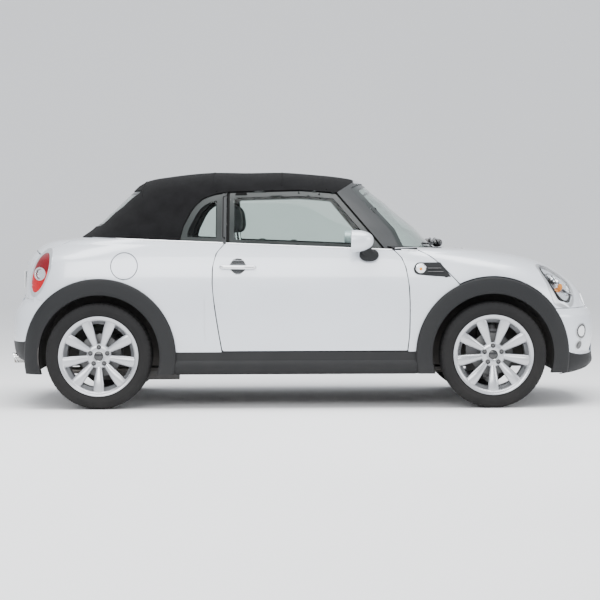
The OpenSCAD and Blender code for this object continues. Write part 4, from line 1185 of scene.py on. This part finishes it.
def build_front_details(M):
    """Grilles with their bars, and the round lower lamps."""
    bars = []
    for z in (618, 636, 654, 672):
        y = np.linspace(-296, 296, 60)
        x = end_x(BODY, 0, y, np.full(60, float(z))) - 7
        bars.append(sweep(np.stack([x, y, np.full(60, float(z))], -1), oval(10, 7, 12)))
    loop = [(-304, 602), (-288, 667), (-250, 688), (250, 688), (288, 667), (304, 602)]
    t = np.linspace(0, len(loop) - 1, 80)
    y = np.interp(t, range(len(loop)), [p[0] for p in loop])
    z = np.interp(t, range(len(loop)), [p[1] for p in loop])
    frame_path = np.stack([end_x(BODY, 0, y, z) + 1, y, z], -1)
    put("upper_grille_bars", [(joined(*bars), M["chrome"]),
                              (sweep(frame_path, oval(12, 14, 12)), M["chrome"])],
        "bonnet_lid")
    mesh = []
    for z in np.arange(372, 516, 16.0):
        y = np.linspace(-322, 322, 40)
        x = end_x(BODY, 0, y, np.full(40, z)) - 16
        mesh.append(sweep(np.stack([x, y, np.full(40, z)], -1), oval(5, 5, 8)))
    for y in np.arange(-320, 321, 20.0):
        z = np.linspace(364, 517, 12)
        x = end_x(BODY, 0, np.full(12, y), z) - 16
        mesh.append(sweep(np.stack([x, np.full(12, y), z], -1), oval(4, 4, 6), up=(0, 1, 0)))
    put("lower_grille_bars", (joined(*mesh), M["gloss_black"]), "car_body")
    grid = end_patch(BODY, 0, rows_along(NOSE, 320, 530, 4), 420, whole=False)[:, 140:]
    lamps = []
    for y, z, size, inner_finish in ((640, 456, 50, "white"), (652, 372, 30, "gloss_black")):
        away = lambda p: size - np.hypot(np.abs(p[..., 1]) - y, p[..., 2] - z)
        for depth, rise, wall, name in (
                (lambda p: np.minimum(away(p), 6 - away(p)), 4, 4, "satin"),
                (lambda p: np.minimum(away(p) - 5, 20 - away(p)), 2.2, 2, "gloss_black"),
                (lambda p: away(p) - 18, 3.4, 3, inner_finish)):
            lamps.append((pair(panel(grid, depth, rise, wall)), M[name]))
    put("lower_lamps", lamps, "car_body")


def build_rear_details(M):
    """The tailgate's handle, the blank rear plate and the exhaust tip."""
    y = np.linspace(-170, 170, 40)
    z = 880 + 0 * y
    x = end_x(BODY, 1, y, z) - 12 * (1 - (y / 175) ** 4)
    handle = sweep(np.stack([x, y, z], -1), oval(24, 30, 18, 0.8))
    put("tailgate_handle", (handle, M["chrome"]), "tail_gate")
    at = float(end_x(BODY, 1, 0.0, 780.0))
    plate = soft_box((at - 6, -255, 724), (at + 2, 255, 834), 3, 6)
    put("rear_plate", (plate, M["plate"]), "tail_gate")
    tip = [(31, 0), (33, 2), (33, 10), (31, 12), (31, 90), (28, 90), (28, 4)]
    r, w = np.array(tip, float).T
    a = np.arange(40) * 2 * np.pi / 40
    slant = np.clip(1 - w / 60, 0, 1)[:, None] * 18 * np.sin(a)
    grid = np.stack([-1828 + w[:, None] - slant + 14, -385 + r[:, None] * np.cos(a),
                     290 + r[:, None] * np.sin(a)], -1)
    put("exhaust_tip", (grid_shape(grid, wrap_rows=True, wrap_columns=True), M["chrome"]),
        "car_body")


# ---------- brightwork, handles, mirrors, wipers ----------
def build_brightwork(M):
    """The bright strip along the belt, from the rear deck to the windscreen's foot."""
    for name, low, high in (("rear", -1392, -492), ("front", 600, 700)):
        x = np.linspace(low, high, 90)
        z = belt(x) + 3
        y = -half_width(BODY, x, z) - 2
        put("belt_strip_" + name, (pair(sweep(np.stack([x, y, z], -1), oval(7, 9, 10))),
                                   M["chrome"]), "car_body")
    x = np.linspace(-470, 541, 90)
    z = belt(x) + 2
    y = -half_width(BODY, x, z) - 2
    strip = sweep(np.stack([x, y, z], -1), oval(7, 8, 10))
    put("belt_strip_door_right", (strip, M["chrome"]), "right_door")
    put("belt_strip_door_left", (mirrored(strip), M["chrome"]), "left_door")


def build_handles(M):
    """Each door's handle: a bar that rises from its ends, over a round grey dish."""
    share = np.linspace(0, 1, 40)
    x = -507 + 217 * share
    z = 862 - 3 * share
    skin = -half_width(BODY, x, z)
    rise = 6 + 26 * np.clip(np.sin(np.pi * share), 0, 1) ** 0.5
    size = 0.75 + 0.25 * np.sin(np.pi * share) ** 0.5
    section = oval(15, 24, 16)[None] * size[:, None, None]
    bar = sweep(np.stack([x, skin - rise, z], -1), section)
    lock = pebble((-484, float(skin[4]) - 12, 862), (15, 9, 13), 0.9, 20)
    grid = side_patch(BODY, -460, -340, 800, 920, 5)
    # The dark grey dish is painted shadow: grey pillar paint on the door where the bar's shade
    # falls, with a satin lip round it.
    shadow_dish_depth = lambda p: 50 - np.hypot(p[..., 0] + 398, p[..., 2] - 866)
    dish = facing_out(trimmed(grid, shadow_dish_depth))
    dish = thick(raised(dish, 1.8), 0.7)
    lip = panel(grid, lambda p: np.minimum(shadow_dish_depth(p), 3 - shadow_dish_depth(p)), 2.8, 1.5)
    # The dish, in grey pillar paint, is the painted shadow of the bar.
    for s, turn in (("right", lambda q: q), ("left", mirrored)):
        put("door_handle_" + s, [(turn(bar), M["chrome"]), (turn(lock), M["chrome"]),
                                 (turn(dish), M["pillar"]), (turn(lip), M["satin"])],
            s + "_door")


def build_mirrors(M):
    """Each door mirror: a rounded shell, flat behind with its glass, on a black foot."""
    v = np.linspace(0, np.pi / 2, 20)[:, None]
    u = np.arange(48)[None] * 2 * np.pi / 48
    bend = lambda t: np.sign(t) * np.abs(t) ** 0.86
    shell = np.stack([MIRROR_AT[0] + 134 * np.cos(v) ** 0.9 + 0 * u,
                      MIRROR_AT[1] + 81 * bend(np.sin(v)) * bend(np.cos(u)),
                      MIRROR_AT[2] + 69 * bend(np.sin(v)) * bend(np.sin(u))
                      + 5 * np.cos(v)], -1)
    rim = shell[-1:]
    inward = np.concatenate([shell, rim + (MIRROR_AT - rim) * 0.06 + [2, 0, 0],
                             rim + (MIRROR_AT - rim) * 0.09 + [14, 0, 0]], 0)
    case = capped(grid_shape(inward, wrap_columns=True), *inward.shape[:2])
    plate = pebble((303, -868, 1016), (3, 71, 59), 0.6, 40)
    foot = pebble((400, -806, 932), (60, 36, 40), 0.95, 32)
    neck = sweep([(366, -852, 984), (380, -834, 966), (394, -816, 944)],
                 np.array([oval(64, 64, 20), oval(58, 66, 20), oval(60, 70, 20)]), up=(1, 0, 0))
    for s, turn in (("right", lambda q: q), ("left", mirrored)):
        put("door_mirror_" + s, [(turn(case), M["paint"]), (turn(plate), M["mirror"]),
                                 (turn(joined(foot, neck)), M["trim"])],
            s + "_door", ["mirror_" + s])


def build_wipers(M):
    """Two wipers lying on the foot of the windscreen: spindle, arm and blade."""
    parts = []
    for start, end in ((330, -20), (-60, -480)):
        y = np.linspace(start - 20, end, 40)
        z = 984 + 10 * np.linspace(0, 1, 40)
        x = end_x(CABIN, 0, y, z) + 9
        blade = np.stack([x, y, z + 6], -1)
        parts.append(sweep(blade, oval(6, 16, 10), up=(1, 0, 1)))
        pivot = np.array([float(end_x(CABIN, 0, float(start), 980.0)) + 36, start, 986])
        middle = blade[22] + [6, 0, 8]
        t = np.linspace(0, 1, 16)[:, None]
        arm = pivot + (middle - pivot) * t + [0, 0, 34] * np.sin(np.pi * t)
        parts.append(sweep(arm, np.array([oval(w, 11, 10) for w in np.linspace(20, 10, 16)]),
                           up=(1, 0, 1)))
        parts.append(pebble(pivot + [-10, 0, 14], (34, 24, 26), 0.8, 20))
    put("wiper_arms", (joined(*parts), M["gloss_black"]), "car_body",
        ["wipers"])
    jets = [pebble((1010, y,
                    float(body_top(np.array([1010.0]), np.array([abs(y)]))[0]) + 2),
                   (11, 8, 5), 0.8, 16) for y in (-240.0, 240.0)]
    put("washer_jets", (joined(*jets), M["gloss_black"]), "bonnet_lid")


# ---------- wheels ----------
def build_wheels(M, spokes):
    """Cast wheels: a turned rim, tapered round spokes, a hub with bolts, and tyres with
    grooved treads. The tread's cross grooves are a dent that repeats round the tyre."""
    rim_profile = [(RIM_R, 96), (RIM_R + 1, 92), (RIM_R - 3, 88), (RIM_R - 14, 86),
                   (RIM_R - 21, 82), (RIM_R - 23, 62), (RIM_R - 38, 46), (RIM_R - 40, -40),
                   (RIM_R - 23, -62), (RIM_R - 21, -84), (RIM_R - 5, -88), (RIM_R, -91),
                   (RIM_R, -96), (RIM_R - 8, -96), (RIM_R - 29, -84), (RIM_R - 31, -62),
                   (RIM_R - 47, -42), (RIM_R - 47, 44), (RIM_R - 36, 58), (RIM_R - 31, 70),
                   (RIM_R - 27, 82), (RIM_R - 18, 90), (RIM_R - 8, 95)]
    for x, y, s, name in (
            (FRONT_X, HUB_Y, 1, "front_left"), (FRONT_X, -HUB_Y, -1, "front_right"),
            (REAR_X, HUB_Y, 1, "rear_left"), (REAR_X, -HUB_Y, -1, "rear_right")):
        rim = lathe(rim_profile, x, y, TYRE_R, 120, s)
        radius = np.linspace(58, RIM_R - 13, 28)
        share = (radius - 58) / (RIM_R - 71)
        half = 17.5 + 14.5 * np.sin(np.clip(share, 0, 1) ** 1.3 * np.pi * 0.62)
        half = half + 7 * np.clip((share - 0.9) / 0.1, 0, 1) ** 2
        middle = 43 + 32 * np.sin(share * np.pi / 2) ** 1.2
        deep = 11 + 1.5 * np.sin(np.pi * share) - 2 * share
        arms = []
        a = np.linspace(0, 2 * np.pi, 22, endpoint=False)
        for k in range(spokes):
            turn = -np.pi / 2 + 2 * np.pi * k / spokes
            across = half[:, None] * np.sign(np.cos(a)) * np.abs(np.cos(a)) ** 0.9
            outward = middle[:, None] + deep[:, None] * np.sin(a) * (1 + 0.25 * np.sin(a))
            grid = np.stack([
                x + radius[:, None] * np.cos(turn) - across * np.sin(turn),
                y + s * outward,
                TYRE_R + radius[:, None] * np.sin(turn) + across * np.cos(turn)], -1)
            arms.append(capped(grid_shape(grid, wrap_columns=True), *grid.shape[:2]))
        hub = lathe([(0.1, 60), (30, 60), (34, 62), (66, 58), (74, 52), (78, 42), (74, 22),
                     (50, 16), (0.1, 16)], x, y, TYRE_R, 60, s, closed=False)
        cap = lathe([(0.1, 69), (22, 68.5), (27, 66), (29, 60), (29, 56), (0.1, 56)], x, y,
                    TYRE_R, 48, s, closed=False)
        ring = lathe([(29, 60), (29.5, 67), (32, 67.5), (33, 60)], x, y, TYRE_R, 48, s)
        bolts, painted_shade_wells = [], []
        for k in range(5):
            turn = np.pi / 2 + 2 * np.pi * k / 5
            bx, bz = x + 54 * np.cos(turn), TYRE_R + 54 * np.sin(turn)
            # Under each bolt a gloss black disc is painted shade, standing for the dark of the
            # bolt's recess in the hub.
            painted_shade_wells.append(lathe([(0.1, 61.5), (14.5, 62), (15.5, 59), (0.1, 57)], bx, y, bz, 24, s,
                               closed=False))
            bolts.append(lathe([(0.1, 64), (5, 63.6), (6, 62), (6, 58), (0.1, 58)], bx, y, bz,
                               6, s, closed=False))
        disc = lathe([(46, -25), (126, -25), (130, -27), (130, -43), (126, -45), (46, -45)], x, y,
                     TYRE_R, 90, s)
        bell = lathe([(0.1, 16), (60, 14), (64, 8), (66, -26), (0.1, -30)], x, y, TYRE_R, 48, s,
                     closed=False)
        valve = pebble((x + (RIM_R - 44) * math.cos(0.35), y + s * 52,
                        TYRE_R + (RIM_R - 44) * math.sin(0.35)), (4, 14, 4), 0.8, 12)
        put("alloy_wheel_" + name,
            [(joined(rim, hub, *arms), M["alloy"]), (cap, M["gloss_black"]),
             (ring, M["chrome"]), (joined(*painted_shade_wells), M["gloss_black"]),
             (joined(*bolts), M["cast"]), (disc, M["disc"]), (bell, M["cast"]),
             (valve, M["gloss_black"])],
            name + "_wheel", ["wheel_" + name])
        count = 360
        r_end, half_w = TYRE_R, TYRE_W / 2
        edge = [(RIM_R - 20, half_w - 14), (RIM_R - 2, half_w - 13), (RIM_R + 3, half_w - 11),
                (RIM_R + 8, half_w - 5), (RIM_R + 12, half_w - 4.2), (RIM_R + 20, half_w - 1.4),
                (RIM_R + 34, half_w - 0.2), (RIM_R + 38, half_w + 0.4), (RIM_R + 40, half_w),
                (RIM_R + 52, half_w - 2), (RIM_R + 60, half_w - 5.5), (RIM_R + 68, half_w - 11),
                (RIM_R + 74, half_w - 17), (r_end - 2.2, half_w - 25), (r_end - 0.6, half_w - 34)]
        grooves = []
        for centre in (52, 18):
            grooves += [(r_end, centre + 5), (r_end - 7, centre + 4), (r_end - 7, centre - 4),
                        (r_end, centre - 5)]
        tread = edge + grooves + [(r_end, 0)]
        profile = np.array(tread + [(r, -w) for r, w in reversed(tread[:-1])], float)
        profile = np.concatenate([profile, [(RIM_R - 22, -half_w + 20), (RIM_R - 22, half_w - 20)]])
        shape = lathe(profile, x, y, TYRE_R, count, s)
        points = shape[0].reshape(len(profile), count, 3)
        r, w = profile[:, :1], profile[:, 1:]
        shoulder = np.clip((np.abs(w) - 56) / 10, 0, 1) * np.clip((r - TYRE_R + 22) / 8, 0, 1)
        inner = (np.abs(w) < 50) * (r > TYRE_R - 1) * 0.55
        phase = np.arange(count)[None] % 6 == 0
        dent = 3.2 * np.clip(shoulder + inner, 0, 1) * phase
        factor = 1 - dent / r
        points[..., 0] = x + (points[..., 0] - x) * factor
        points[..., 2] = TYRE_R + (points[..., 2] - TYRE_R) * factor
        put("tyre_with_tread_" + name, ((points.reshape(-1, 3), shape[1]), M["tyre"]),
            name + "_wheel", ["tyre_" + name], sharp=30)


# ---------- cabin ----------
def swell(name, shape, material, body, cap, pressure=4.0, voxel=8.0):
    """A stuffed piece: the closed shape is remeshed, blown up as cloth with no gravity,
    and each point is held to within a cap of where it started."""
    piece = put(name, (shape, material), body, sharp=180)
    remesh = piece.modifiers.new("Remesh", "REMESH")
    remesh.mode, remesh.voxel_size = "VOXEL", voxel / 1000
    apply_modifiers(piece)
    rest = points_of(piece)
    cloth = piece.modifiers.new("Cloth", "CLOTH")
    cloth.settings.use_pressure = True
    cloth.settings.uniform_pressure_force = pressure
    cloth.settings.effector_weights.gravity = 0
    scene = bpy.context.scene
    for step in range(1, 15):
        scene.frame_set(step)
    apply_modifiers(piece)
    scene.frame_set(1)
    moved = points_of(piece) - rest
    length = np.linalg.norm(moved, axis=1, keepdims=True) + 1e-9
    set_points(piece, rest + moved * np.minimum(1, cap / 1000 / length))
    return piece


def points_of(piece):
    flat = np.empty(len(piece.data.vertices) * 3, np.float32)
    piece.data.vertices.foreach_get("co", flat)
    return flat.reshape(-1, 3).astype(float)


def set_points(piece, points):
    piece.data.vertices.foreach_set("co", points.astype(np.float32).ravel())
    piece.data.update()


def apply_modifiers(piece):
    """Gives the piece the mesh that its modifiers make, and takes them off."""
    seen = piece.evaluated_get(bpy.context.evaluated_depsgraph_get())
    mesh = bpy.data.meshes.new_from_object(seen)
    piece.modifiers.clear()
    materials = list(piece.data.materials)
    piece.data = mesh
    mesh.materials.clear()
    for material in materials:
        mesh.materials.append(material)
    mesh.shade_smooth()


def groove(piece, line, deep, wide=7.0):
    """Presses sewn channels into a piece where line(points in mm) is near 0."""
    points = points_of(piece)
    normals = np.empty(len(points) * 3, np.float32)
    piece.data.vertices.foreach_get("normal", normals)
    near = np.exp(-(line(points * 1000) / wide) ** 2)
    set_points(piece, points - normals.reshape(-1, 3) * (near * deep / 1000)[:, None])


def copy_across(piece, name):
    """A mirror image of a finished piece on the other side of the car."""
    other = piece.copy()
    other.data = piece.data.copy()
    other.name = name
    bpy.context.scene.collection.objects.link(other)
    other.data.transform(((1, 0, 0, 0), (0, -1, 0, 0), (0, 0, 1, 0), (0, 0, 0, 1)))
    other.data.flip_normals()
    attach(other, piece["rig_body"])
    return other


def crowned(low, high, radius, bulge, axis, pull=0.06, cells=14):
    """A cushion's form: a soft box whose faces swell along one axis, most in the middle,
    and whose sides pull in between the corners."""
    points, faces = soft_box(low, high, radius, cells)
    low, high = np.array(low, float), np.array(high, float)
    t = (points - (low + high) / 2) / ((high - low) / 2)
    others = [i for i in range(3) if i != axis]
    rise = (1 - t[:, others[0]] ** 2).clip(0) * (1 - t[:, others[1]] ** 2).clip(0)
    points = points.copy()
    points[:, axis] += np.sign(t[:, axis]) * np.abs(t[:, axis]) * bulge * rise
    for i, j in (others, others[::-1]):
        points[:, i] -= t[:, i] * pull * (high - low)[i] / 2 * (1 - t[:, j] ** 2).clip(0)
    return points, faces


def build_seats(M):
    """Front and rear seats: padded cushions with sewn channels, and head restraints."""
    lean = dict(angle=-7, axis=1, about=(-300, -380, 420))
    cushion = swell("seat_cushion_right", crowned((-268, -566, 330), (174, -192, 448), 46, 14, 2),
                    M["seat"], "car_body", 16)
    groove(cushion, lambda p: np.minimum(np.abs(np.abs(p[:, 1] + 379) - 120),
                                         np.where(np.abs(p[:, 1] + 379) < 120,
                                                  np.abs((p[:, 0] + 268) % 110 - 55), 99))
           + 80 * (p[:, 2] < 400), 6)
    backrest = turned(crowned((-396, -566, 446), (-306, -194, 1030), 42, 12, 0), **lean)
    back = swell("seat_backrest_right", backrest, M["seat"], "car_body", 14)
    groove(back, lambda p: np.minimum(np.abs(np.abs(p[:, 1] + 380) - 112),
                                      np.where(np.abs(p[:, 1] + 380) < 112,
                                               np.abs((p[:, 2] - 430) % 120 - 60), 99)), 5)
    rest = turned(crowned((-382, -494, 1078), (-300, -266, 1258), 34, 10, 0), **lean)
    head = swell("head_restraint_right", rest, M["seat"], "car_body", 8, voxel=6.0)
    for piece, fill in ((cushion, 0.75), (back, 0.7), (head, 0.8)):
        other = copy_across(piece, piece.name.replace("right", "left"))
    base = soft_box((-290, -570, 232), (160, -190, 336), 14, 8)
    rails = joined(soft_box((-300, -560, 226), (180, -535, 240), 4, 4),
                   soft_box((-300, -225, 226), (180, -200, 240), 4, 4))
    posts = joined(*[turned(sweep([(-345, y, 1010), (-345, y, 1090)], oval(11, 11, 12),
                                  up=(1, 0, 0)), **lean) for y in (-440, -320)])
    put("seat_frames", [(pair(base), M["seat_side"]), (pair(rails), M["steel"]),
                        (pair(posts), M["chrome"])], "car_body", ["front_seats"])
    bench = swell("rear_bench", crowned((-880, -395, 330), (-570, 395, 480), 46, 12, 2),
                  M["seat"], "car_body", 14, voxel=9.0)
    groove(bench, lambda p: np.minimum(np.abs(p[:, 1]), np.abs(np.abs(p[:, 1]) - 200)), 7)
    rear_back = turned(crowned((-945, -395, 480), (-875, 395, 930), 32, 10, 0),
                       -10, 1, (-900, 0, 460))
    rear = swell("rear_backrest", rear_back, M["seat"], "car_body", 10, voxel=9.0)
    groove(rear, lambda p: np.minimum(np.abs(p[:, 1]), np.abs(np.abs(p[:, 1]) - 200)), 6)
    base = soft_box((-895, -410, 232), (-565, 410, 330), 14, 8)
    put("rear_seat_base", (base, M["seat_side"]), "car_body", ["rear_seat"])


def build_dashboard(M):
    """The dashboard's rounded shell over its beam, with a round dial and vents, and the
    interior mirror under the header."""
    share = np.linspace(-1, 1, 41)
    section = np.array([(0, 0), (-22, 16), (-34, 60), (-30, 110), (-6, 146), (40, 168),
                        (110, 174), (190, 160), (236, 132), (236, 60), (200, 0)], float)
    rows = []
    for t in share:
        bulge = 1 + 0.10 * math.exp(-((t - 0.53) / 0.2) ** 2)
        rows.append(np.stack([466 + section[:, 0], np.full(len(section), 628 * t),
                              742 + section[:, 1] * bulge], -1))
    grid = np.array(rows)
    shell = capped(grid_shape(grid, wrap_columns=True), *grid.shape[:2])
    dial = lathe([(0.1, 10), (96, 8), (104, 2), (104, -16), (0.1, -16)], 0, 0, 0, 48, closed=False)
    dial = turned(dial, 90, 2)
    dial = (dial[0] + np.array([428, 0, 852]), dial[1])
    vents = []
    for y in (-560, -200, 200, 560):
        ring = turned(lathe([(34, 4), (40, 6), (44, 0), (40, -14), (34, -14)], 0, 0, 0, 36), 90, 2)
        vents.append((ring[0] + np.array([430, y, 852]), ring[1]))
        vents.append(soft_box((428, y - 33, 849), (434, y + 33, 855), 2, 4))
    put("dashboard_shell", [(shell, M["cabin"]), (dial, M["gloss_black"]),
                            (joined(*vents), M["satin"])], "car_body")
    glass_x = float(end_x(CABIN, 0, 0.0, 1330.0))
    stalk = sweep([(glass_x - 8, 0, 1330), (glass_x - 30, 0, 1318), (glass_x - 52, 0, 1300)],
                  oval(16, 12, 12), up=(0, 1, 0))
    shell = pebble((glass_x - 62, 0, 1290), (16, 116, 30), 0.7, 36)
    put("interior_mirror", (joined(stalk, shell), M["gloss_black"]), "car_body")


def build_steering_wheel(M):
    """A leather rim, three spokes and a padded hub, about the column's slanted axis."""
    middle, lean = np.array([300, 340, 850.0]), -65
    a = np.linspace(0, 2 * np.pi, 97)[:-1]
    path = np.stack([178 * np.cos(a), 178 * np.sin(a), 0 * a], -1)
    rim = sweep(path, oval(27, 30, 14), closed=True)
    parts = [(rim, M["leather"])]
    arms = []
    for turn in (0, 90, 180):
        c, s = math.cos(math.radians(turn + 90)), math.sin(math.radians(turn + 90))
        r = np.linspace(30, 172, 12)
        arms.append(sweep(np.stack([r * c, r * s, -4 + 0 * r], -1),
                          np.array([oval(w, 12, 14) for w in np.linspace(40, 26, 12)])))
    hub = pebble((0, 0, 4), (60, 62, 20), 0.8, 36)
    parts += [(joined(*arms), M["satin"]), (hub, M["cabin"])]
    placed = [((turned(shape, lean)[0] + middle, shape[1]), material)
              for shape, material in parts]
    put("steering_wheel_rim", placed, "steering", ["steering_wheel"])


CAD_FINISHES = {
    "floor_pan": "under", "sills": "trim", "front_bulkhead": "under", "cowl": "trim",
    "housing_front_left": "under", "housing_front_right": "under",
    "housing_rear_left": "under", "housing_rear_right": "under", "carriers": "steel",
    "front_bumper": "paint", "rear_bumper": "paint", "lower_trims": "trim",
    "quarter_panels": "paint", "front_wings": "paint", "windscreen_frame": "pillar",
    "rear_deck": "paint", "grille": "gloss_black", "exhaust": "exhaust",
    "engine": "engine", "dashboard": "cabin", "front_subframe": "steel",
    "rear_axle": "steel", "door_left": "inner", "door_right": "inner", "bonnet": "paint",
    "bonnet_grille": "gloss_black", "tailgate": "paint", "fuel_flap": "paint",
    "knuckle_left": "cast", "knuckle_right": "cast",
}


def finish_cad_nodes(M):
    """Gives each CAD node that still shows its own finish."""
    for node, name in CAD_FINISHES.items():
        mesh = frame["nodes"][node].data
        mesh.materials.clear()
        mesh.materials.append(M[name])


# ---------- stage ----------
def build_stage(stage):
    """Floor and backdrop in one curved sheet, soft lights and the camera."""
    depth = np.linspace(0, 1, 40)
    rise = (depth - 0.6) / 0.4 * np.pi / 2
    y = np.where(depth < 0.6, -30 + depth / 0.6 * 46, 16 + 6 * np.sin(rise))
    z = np.where(depth < 0.6, 0, 6 - 6 * np.cos(rise))
    x = np.linspace(-40, 40, 9)
    grid = np.stack([np.repeat(x[None], 40, 0), np.repeat(y[:, None], 9, 1),
                     np.repeat(z[:, None], 9, 1) - 0.0005], -1) * 1000
    points, faces = grid_shape(grid)
    mesh = bpy.data.meshes.new("studio_floor")
    mesh.from_pydata((points / 1000).tolist(), [], faces[0].tolist())
    mesh.shade_smooth()
    floor = bpy.data.objects.new("studio_floor", mesh)
    bpy.context.scene.collection.objects.link(floor)
    tone = list(stage.floor_colour)
    mesh.materials.append(finish("Pale studio floor", tone, 0.75, vary=0.01, broad=0.3,
                                 fine=60.0, bump=0.02))
    world = bpy.data.worlds.new("Studio")
    bpy.context.scene.world = world
    world.use_nodes = True
    sky = world.node_tree.nodes["Background"]
    sky.inputs["Color"].default_value = (0.92, 0.95, 1.0, 1)
    sky.inputs["Strength"].default_value = stage.sky_strength
    for name, place, turn, size, power in (
            ("Overhead", (0, -1.5, 6.5), (8, 0, 0), (9, 5), 620),
            ("Camera side", (-2.5, -9, 4.6), (64, 0, -14), (9, 3), 430),
            ("Front fill", (7.5, -3.5, 3.0), (62, 0, 66), (4, 3), 130)):
        light = bpy.data.lights.new(name, "AREA")
        light.shape, light.size, light.size_y = "RECTANGLE", *size
        light.energy = power * stage.light_share
        holder = bpy.data.objects.new(name, light)
        holder.location = place
        holder.rotation_euler = [math.radians(a) for a in turn]
        bpy.context.scene.collection.objects.link(holder)
    camera = bpy.data.cameras.new("Camera")
    camera.lens, camera.sensor_width = stage.lens, 36
    camera.shift_x, camera.shift_y = 0.0078, -0.1167
    camera.clip_end = 200
    eye = bpy.data.objects.new("Camera", camera)
    eye.location = (-0.0475, -stage.distance, stage.eye_height)
    eye.rotation_euler = (math.radians(90), math.radians(0.25), 0)
    bpy.context.scene.collection.objects.link(eye)
    bpy.context.scene.camera = eye


# ---------- settings, operators and panel ----------
class PaintSettings(bpy.types.PropertyGroup):
    """The body's paint."""
    colour: bpy.props.FloatVectorProperty(
        name="Body colour", description="Colour of the painted panels", size=3,
        subtype="COLOR", min=0, max=1, default=(0.66, 0.69, 0.735))
    roughness: bpy.props.FloatProperty(
        name="Roughness", description="Roughness of the paint under its clear coat",
        min=0, max=1, subtype="FACTOR", default=0.36)


class WheelSettings(bpy.types.PropertyGroup):
    """The wheels' design."""
    spokes: bpy.props.IntProperty(
        name="Spokes", description="Number of spokes of each wheel", min=5, max=20, default=9)


class StageSettings(bpy.types.PropertyGroup):
    """Floor, light and camera."""
    floor_colour: bpy.props.FloatVectorProperty(
        name="Floor colour", description="Colour of the floor and backdrop", size=3,
        subtype="COLOR", min=0, max=1, default=(0.9, 0.9, 0.9))
    sky_strength: bpy.props.FloatProperty(
        name="Sky strength", description="Strength of the light from all round",
        min=0, max=5, default=1.15)
    light_share: bpy.props.FloatProperty(
        name="Light power", description="Power of the soft lights, as a share",
        min=0, max=4, subtype="FACTOR", default=1.35)
    lens: bpy.props.FloatProperty(
        name="Lens", description="Focal length of the camera in millimetres", min=10,
        max=300, default=117.4)
    distance: bpy.props.FloatProperty(
        name="Camera distance", description="Distance of the camera from the car's middle",
        min=2, max=60, unit="LENGTH", default=12.7)
    eye_height: bpy.props.FloatProperty(
        name="Camera height", description="Height of the camera over the floor", min=0,
        max=6, unit="LENGTH", default=1.086)


def step(idname, label, doc, work):
    """An operator class that runs one building function, and raises if it fails."""
    def execute(self, context):
        work(context.scene)
        return {"FINISHED"}
    return type("CONVERTIBLE_OT_" + idname, (bpy.types.Operator,), {
        "bl_idname": "convertible." + idname, "bl_label": label, "__doc__": doc,
        "execute": execute})


def mix_finishes(scene):
    M.update(make_finishes(scene.convertible_paint))
    inner = finish("Door lining", (0.05, 0.051, 0.054), 0.7, vary=0.1, fine=1100.0, bump=0.4,
                   depth=0.0004)
    M["inner"] = inner


STEPS = [
    step("finishes", "Finishes", "Mixes every finish", mix_finishes),
    step("cad_nodes", "CAD parts", "Gives the CAD parts that show their finishes",
         lambda scene: finish_cad_nodes(M)),
    step("panels", "Painted panels", "Builds the painted skins", lambda scene: build_panels(M)),
    step("black_trim", "Black trim", "Builds flares, sills, chin, cowl and pods",
         lambda scene: build_black_trim(M)),
    step("soft_top", "Soft top", "Builds the fabric top and its lining",
         lambda scene: build_soft_top(M)),
    step("glass", "Glass", "Builds the windows and the windscreen's frame",
         lambda scene: build_glass(M)),
    step("headlights", "Headlights", "Builds the headlights", lambda scene: build_headlights(M)),
    step("tail_lights", "Tail lights", "Builds the tail lights",
         lambda scene: build_tail_lights(M)),
    step("front_details", "Front details", "Builds the grilles and the lower lamps",
         lambda scene: build_front_details(M)),
    step("rear_details", "Rear details", "Builds the tailgate's handle, plate and exhaust tip",
         lambda scene: build_rear_details(M)),
    step("brightwork", "Brightwork", "Builds the bright strips", lambda scene: build_brightwork(M)),
    step("handles", "Door handles", "Builds the door handles", lambda scene: build_handles(M)),
    step("mirrors", "Door mirrors", "Builds the door mirrors", lambda scene: build_mirrors(M)),
    step("wipers", "Wipers", "Builds the wipers and washer jets", lambda scene: build_wipers(M)),
    step("wheels", "Wheels and tyres", "Builds the wheels and tyres",
         lambda scene: build_wheels(M, scene.convertible_wheels.spokes)),
    step("seats", "Seats", "Builds the padded seats", lambda scene: build_seats(M)),
    step("dashboard", "Dashboard", "Builds the dashboard and interior mirror",
         lambda scene: build_dashboard(M)),
    step("steering_wheel", "Steering wheel", "Builds the steering wheel",
         lambda scene: build_steering_wheel(M)),
    step("stage", "Stage", "Builds the floor, the lights and the camera",
         lambda scene: build_stage(scene.convertible_stage)),
]


class CONVERTIBLE_PT_parts(bpy.types.Panel):
    """Lists the steps and their settings."""
    bl_label = "Convertible"
    bl_idname = "CONVERTIBLE_PT_parts"
    bl_space_type = "VIEW_3D"
    bl_region_type = "UI"
    bl_category = "Convertible"

    def draw(self, context):
        scene = context.scene
        for settings in (scene.convertible_paint, scene.convertible_wheels,
                         scene.convertible_stage):
            for key in settings.__annotations__:
                self.layout.prop(settings, key)
        for operator in STEPS:
            self.layout.operator(operator.bl_idname)


CLASSES = [PaintSettings, WheelSettings, StageSettings, *STEPS, CONVERTIBLE_PT_parts]


def register():
    for cls in CLASSES:
        bpy.utils.register_class(cls)
    bpy.types.Scene.convertible_paint = bpy.props.PointerProperty(type=PaintSettings)
    bpy.types.Scene.convertible_wheels = bpy.props.PointerProperty(type=WheelSettings)
    bpy.types.Scene.convertible_stage = bpy.props.PointerProperty(type=StageSettings)


def unregister():
    for key in ("convertible_paint", "convertible_wheels", "convertible_stage"):
        delattr(bpy.types.Scene, key)
    for cls in reversed(CLASSES):
        bpy.utils.unregister_class(cls)


def main():
    register()
    for operator in STEPS:
        name = operator.bl_idname.split(".")[1]
        getattr(bpy.ops.convertible, name)()


if __name__ == "__main__":
    main()
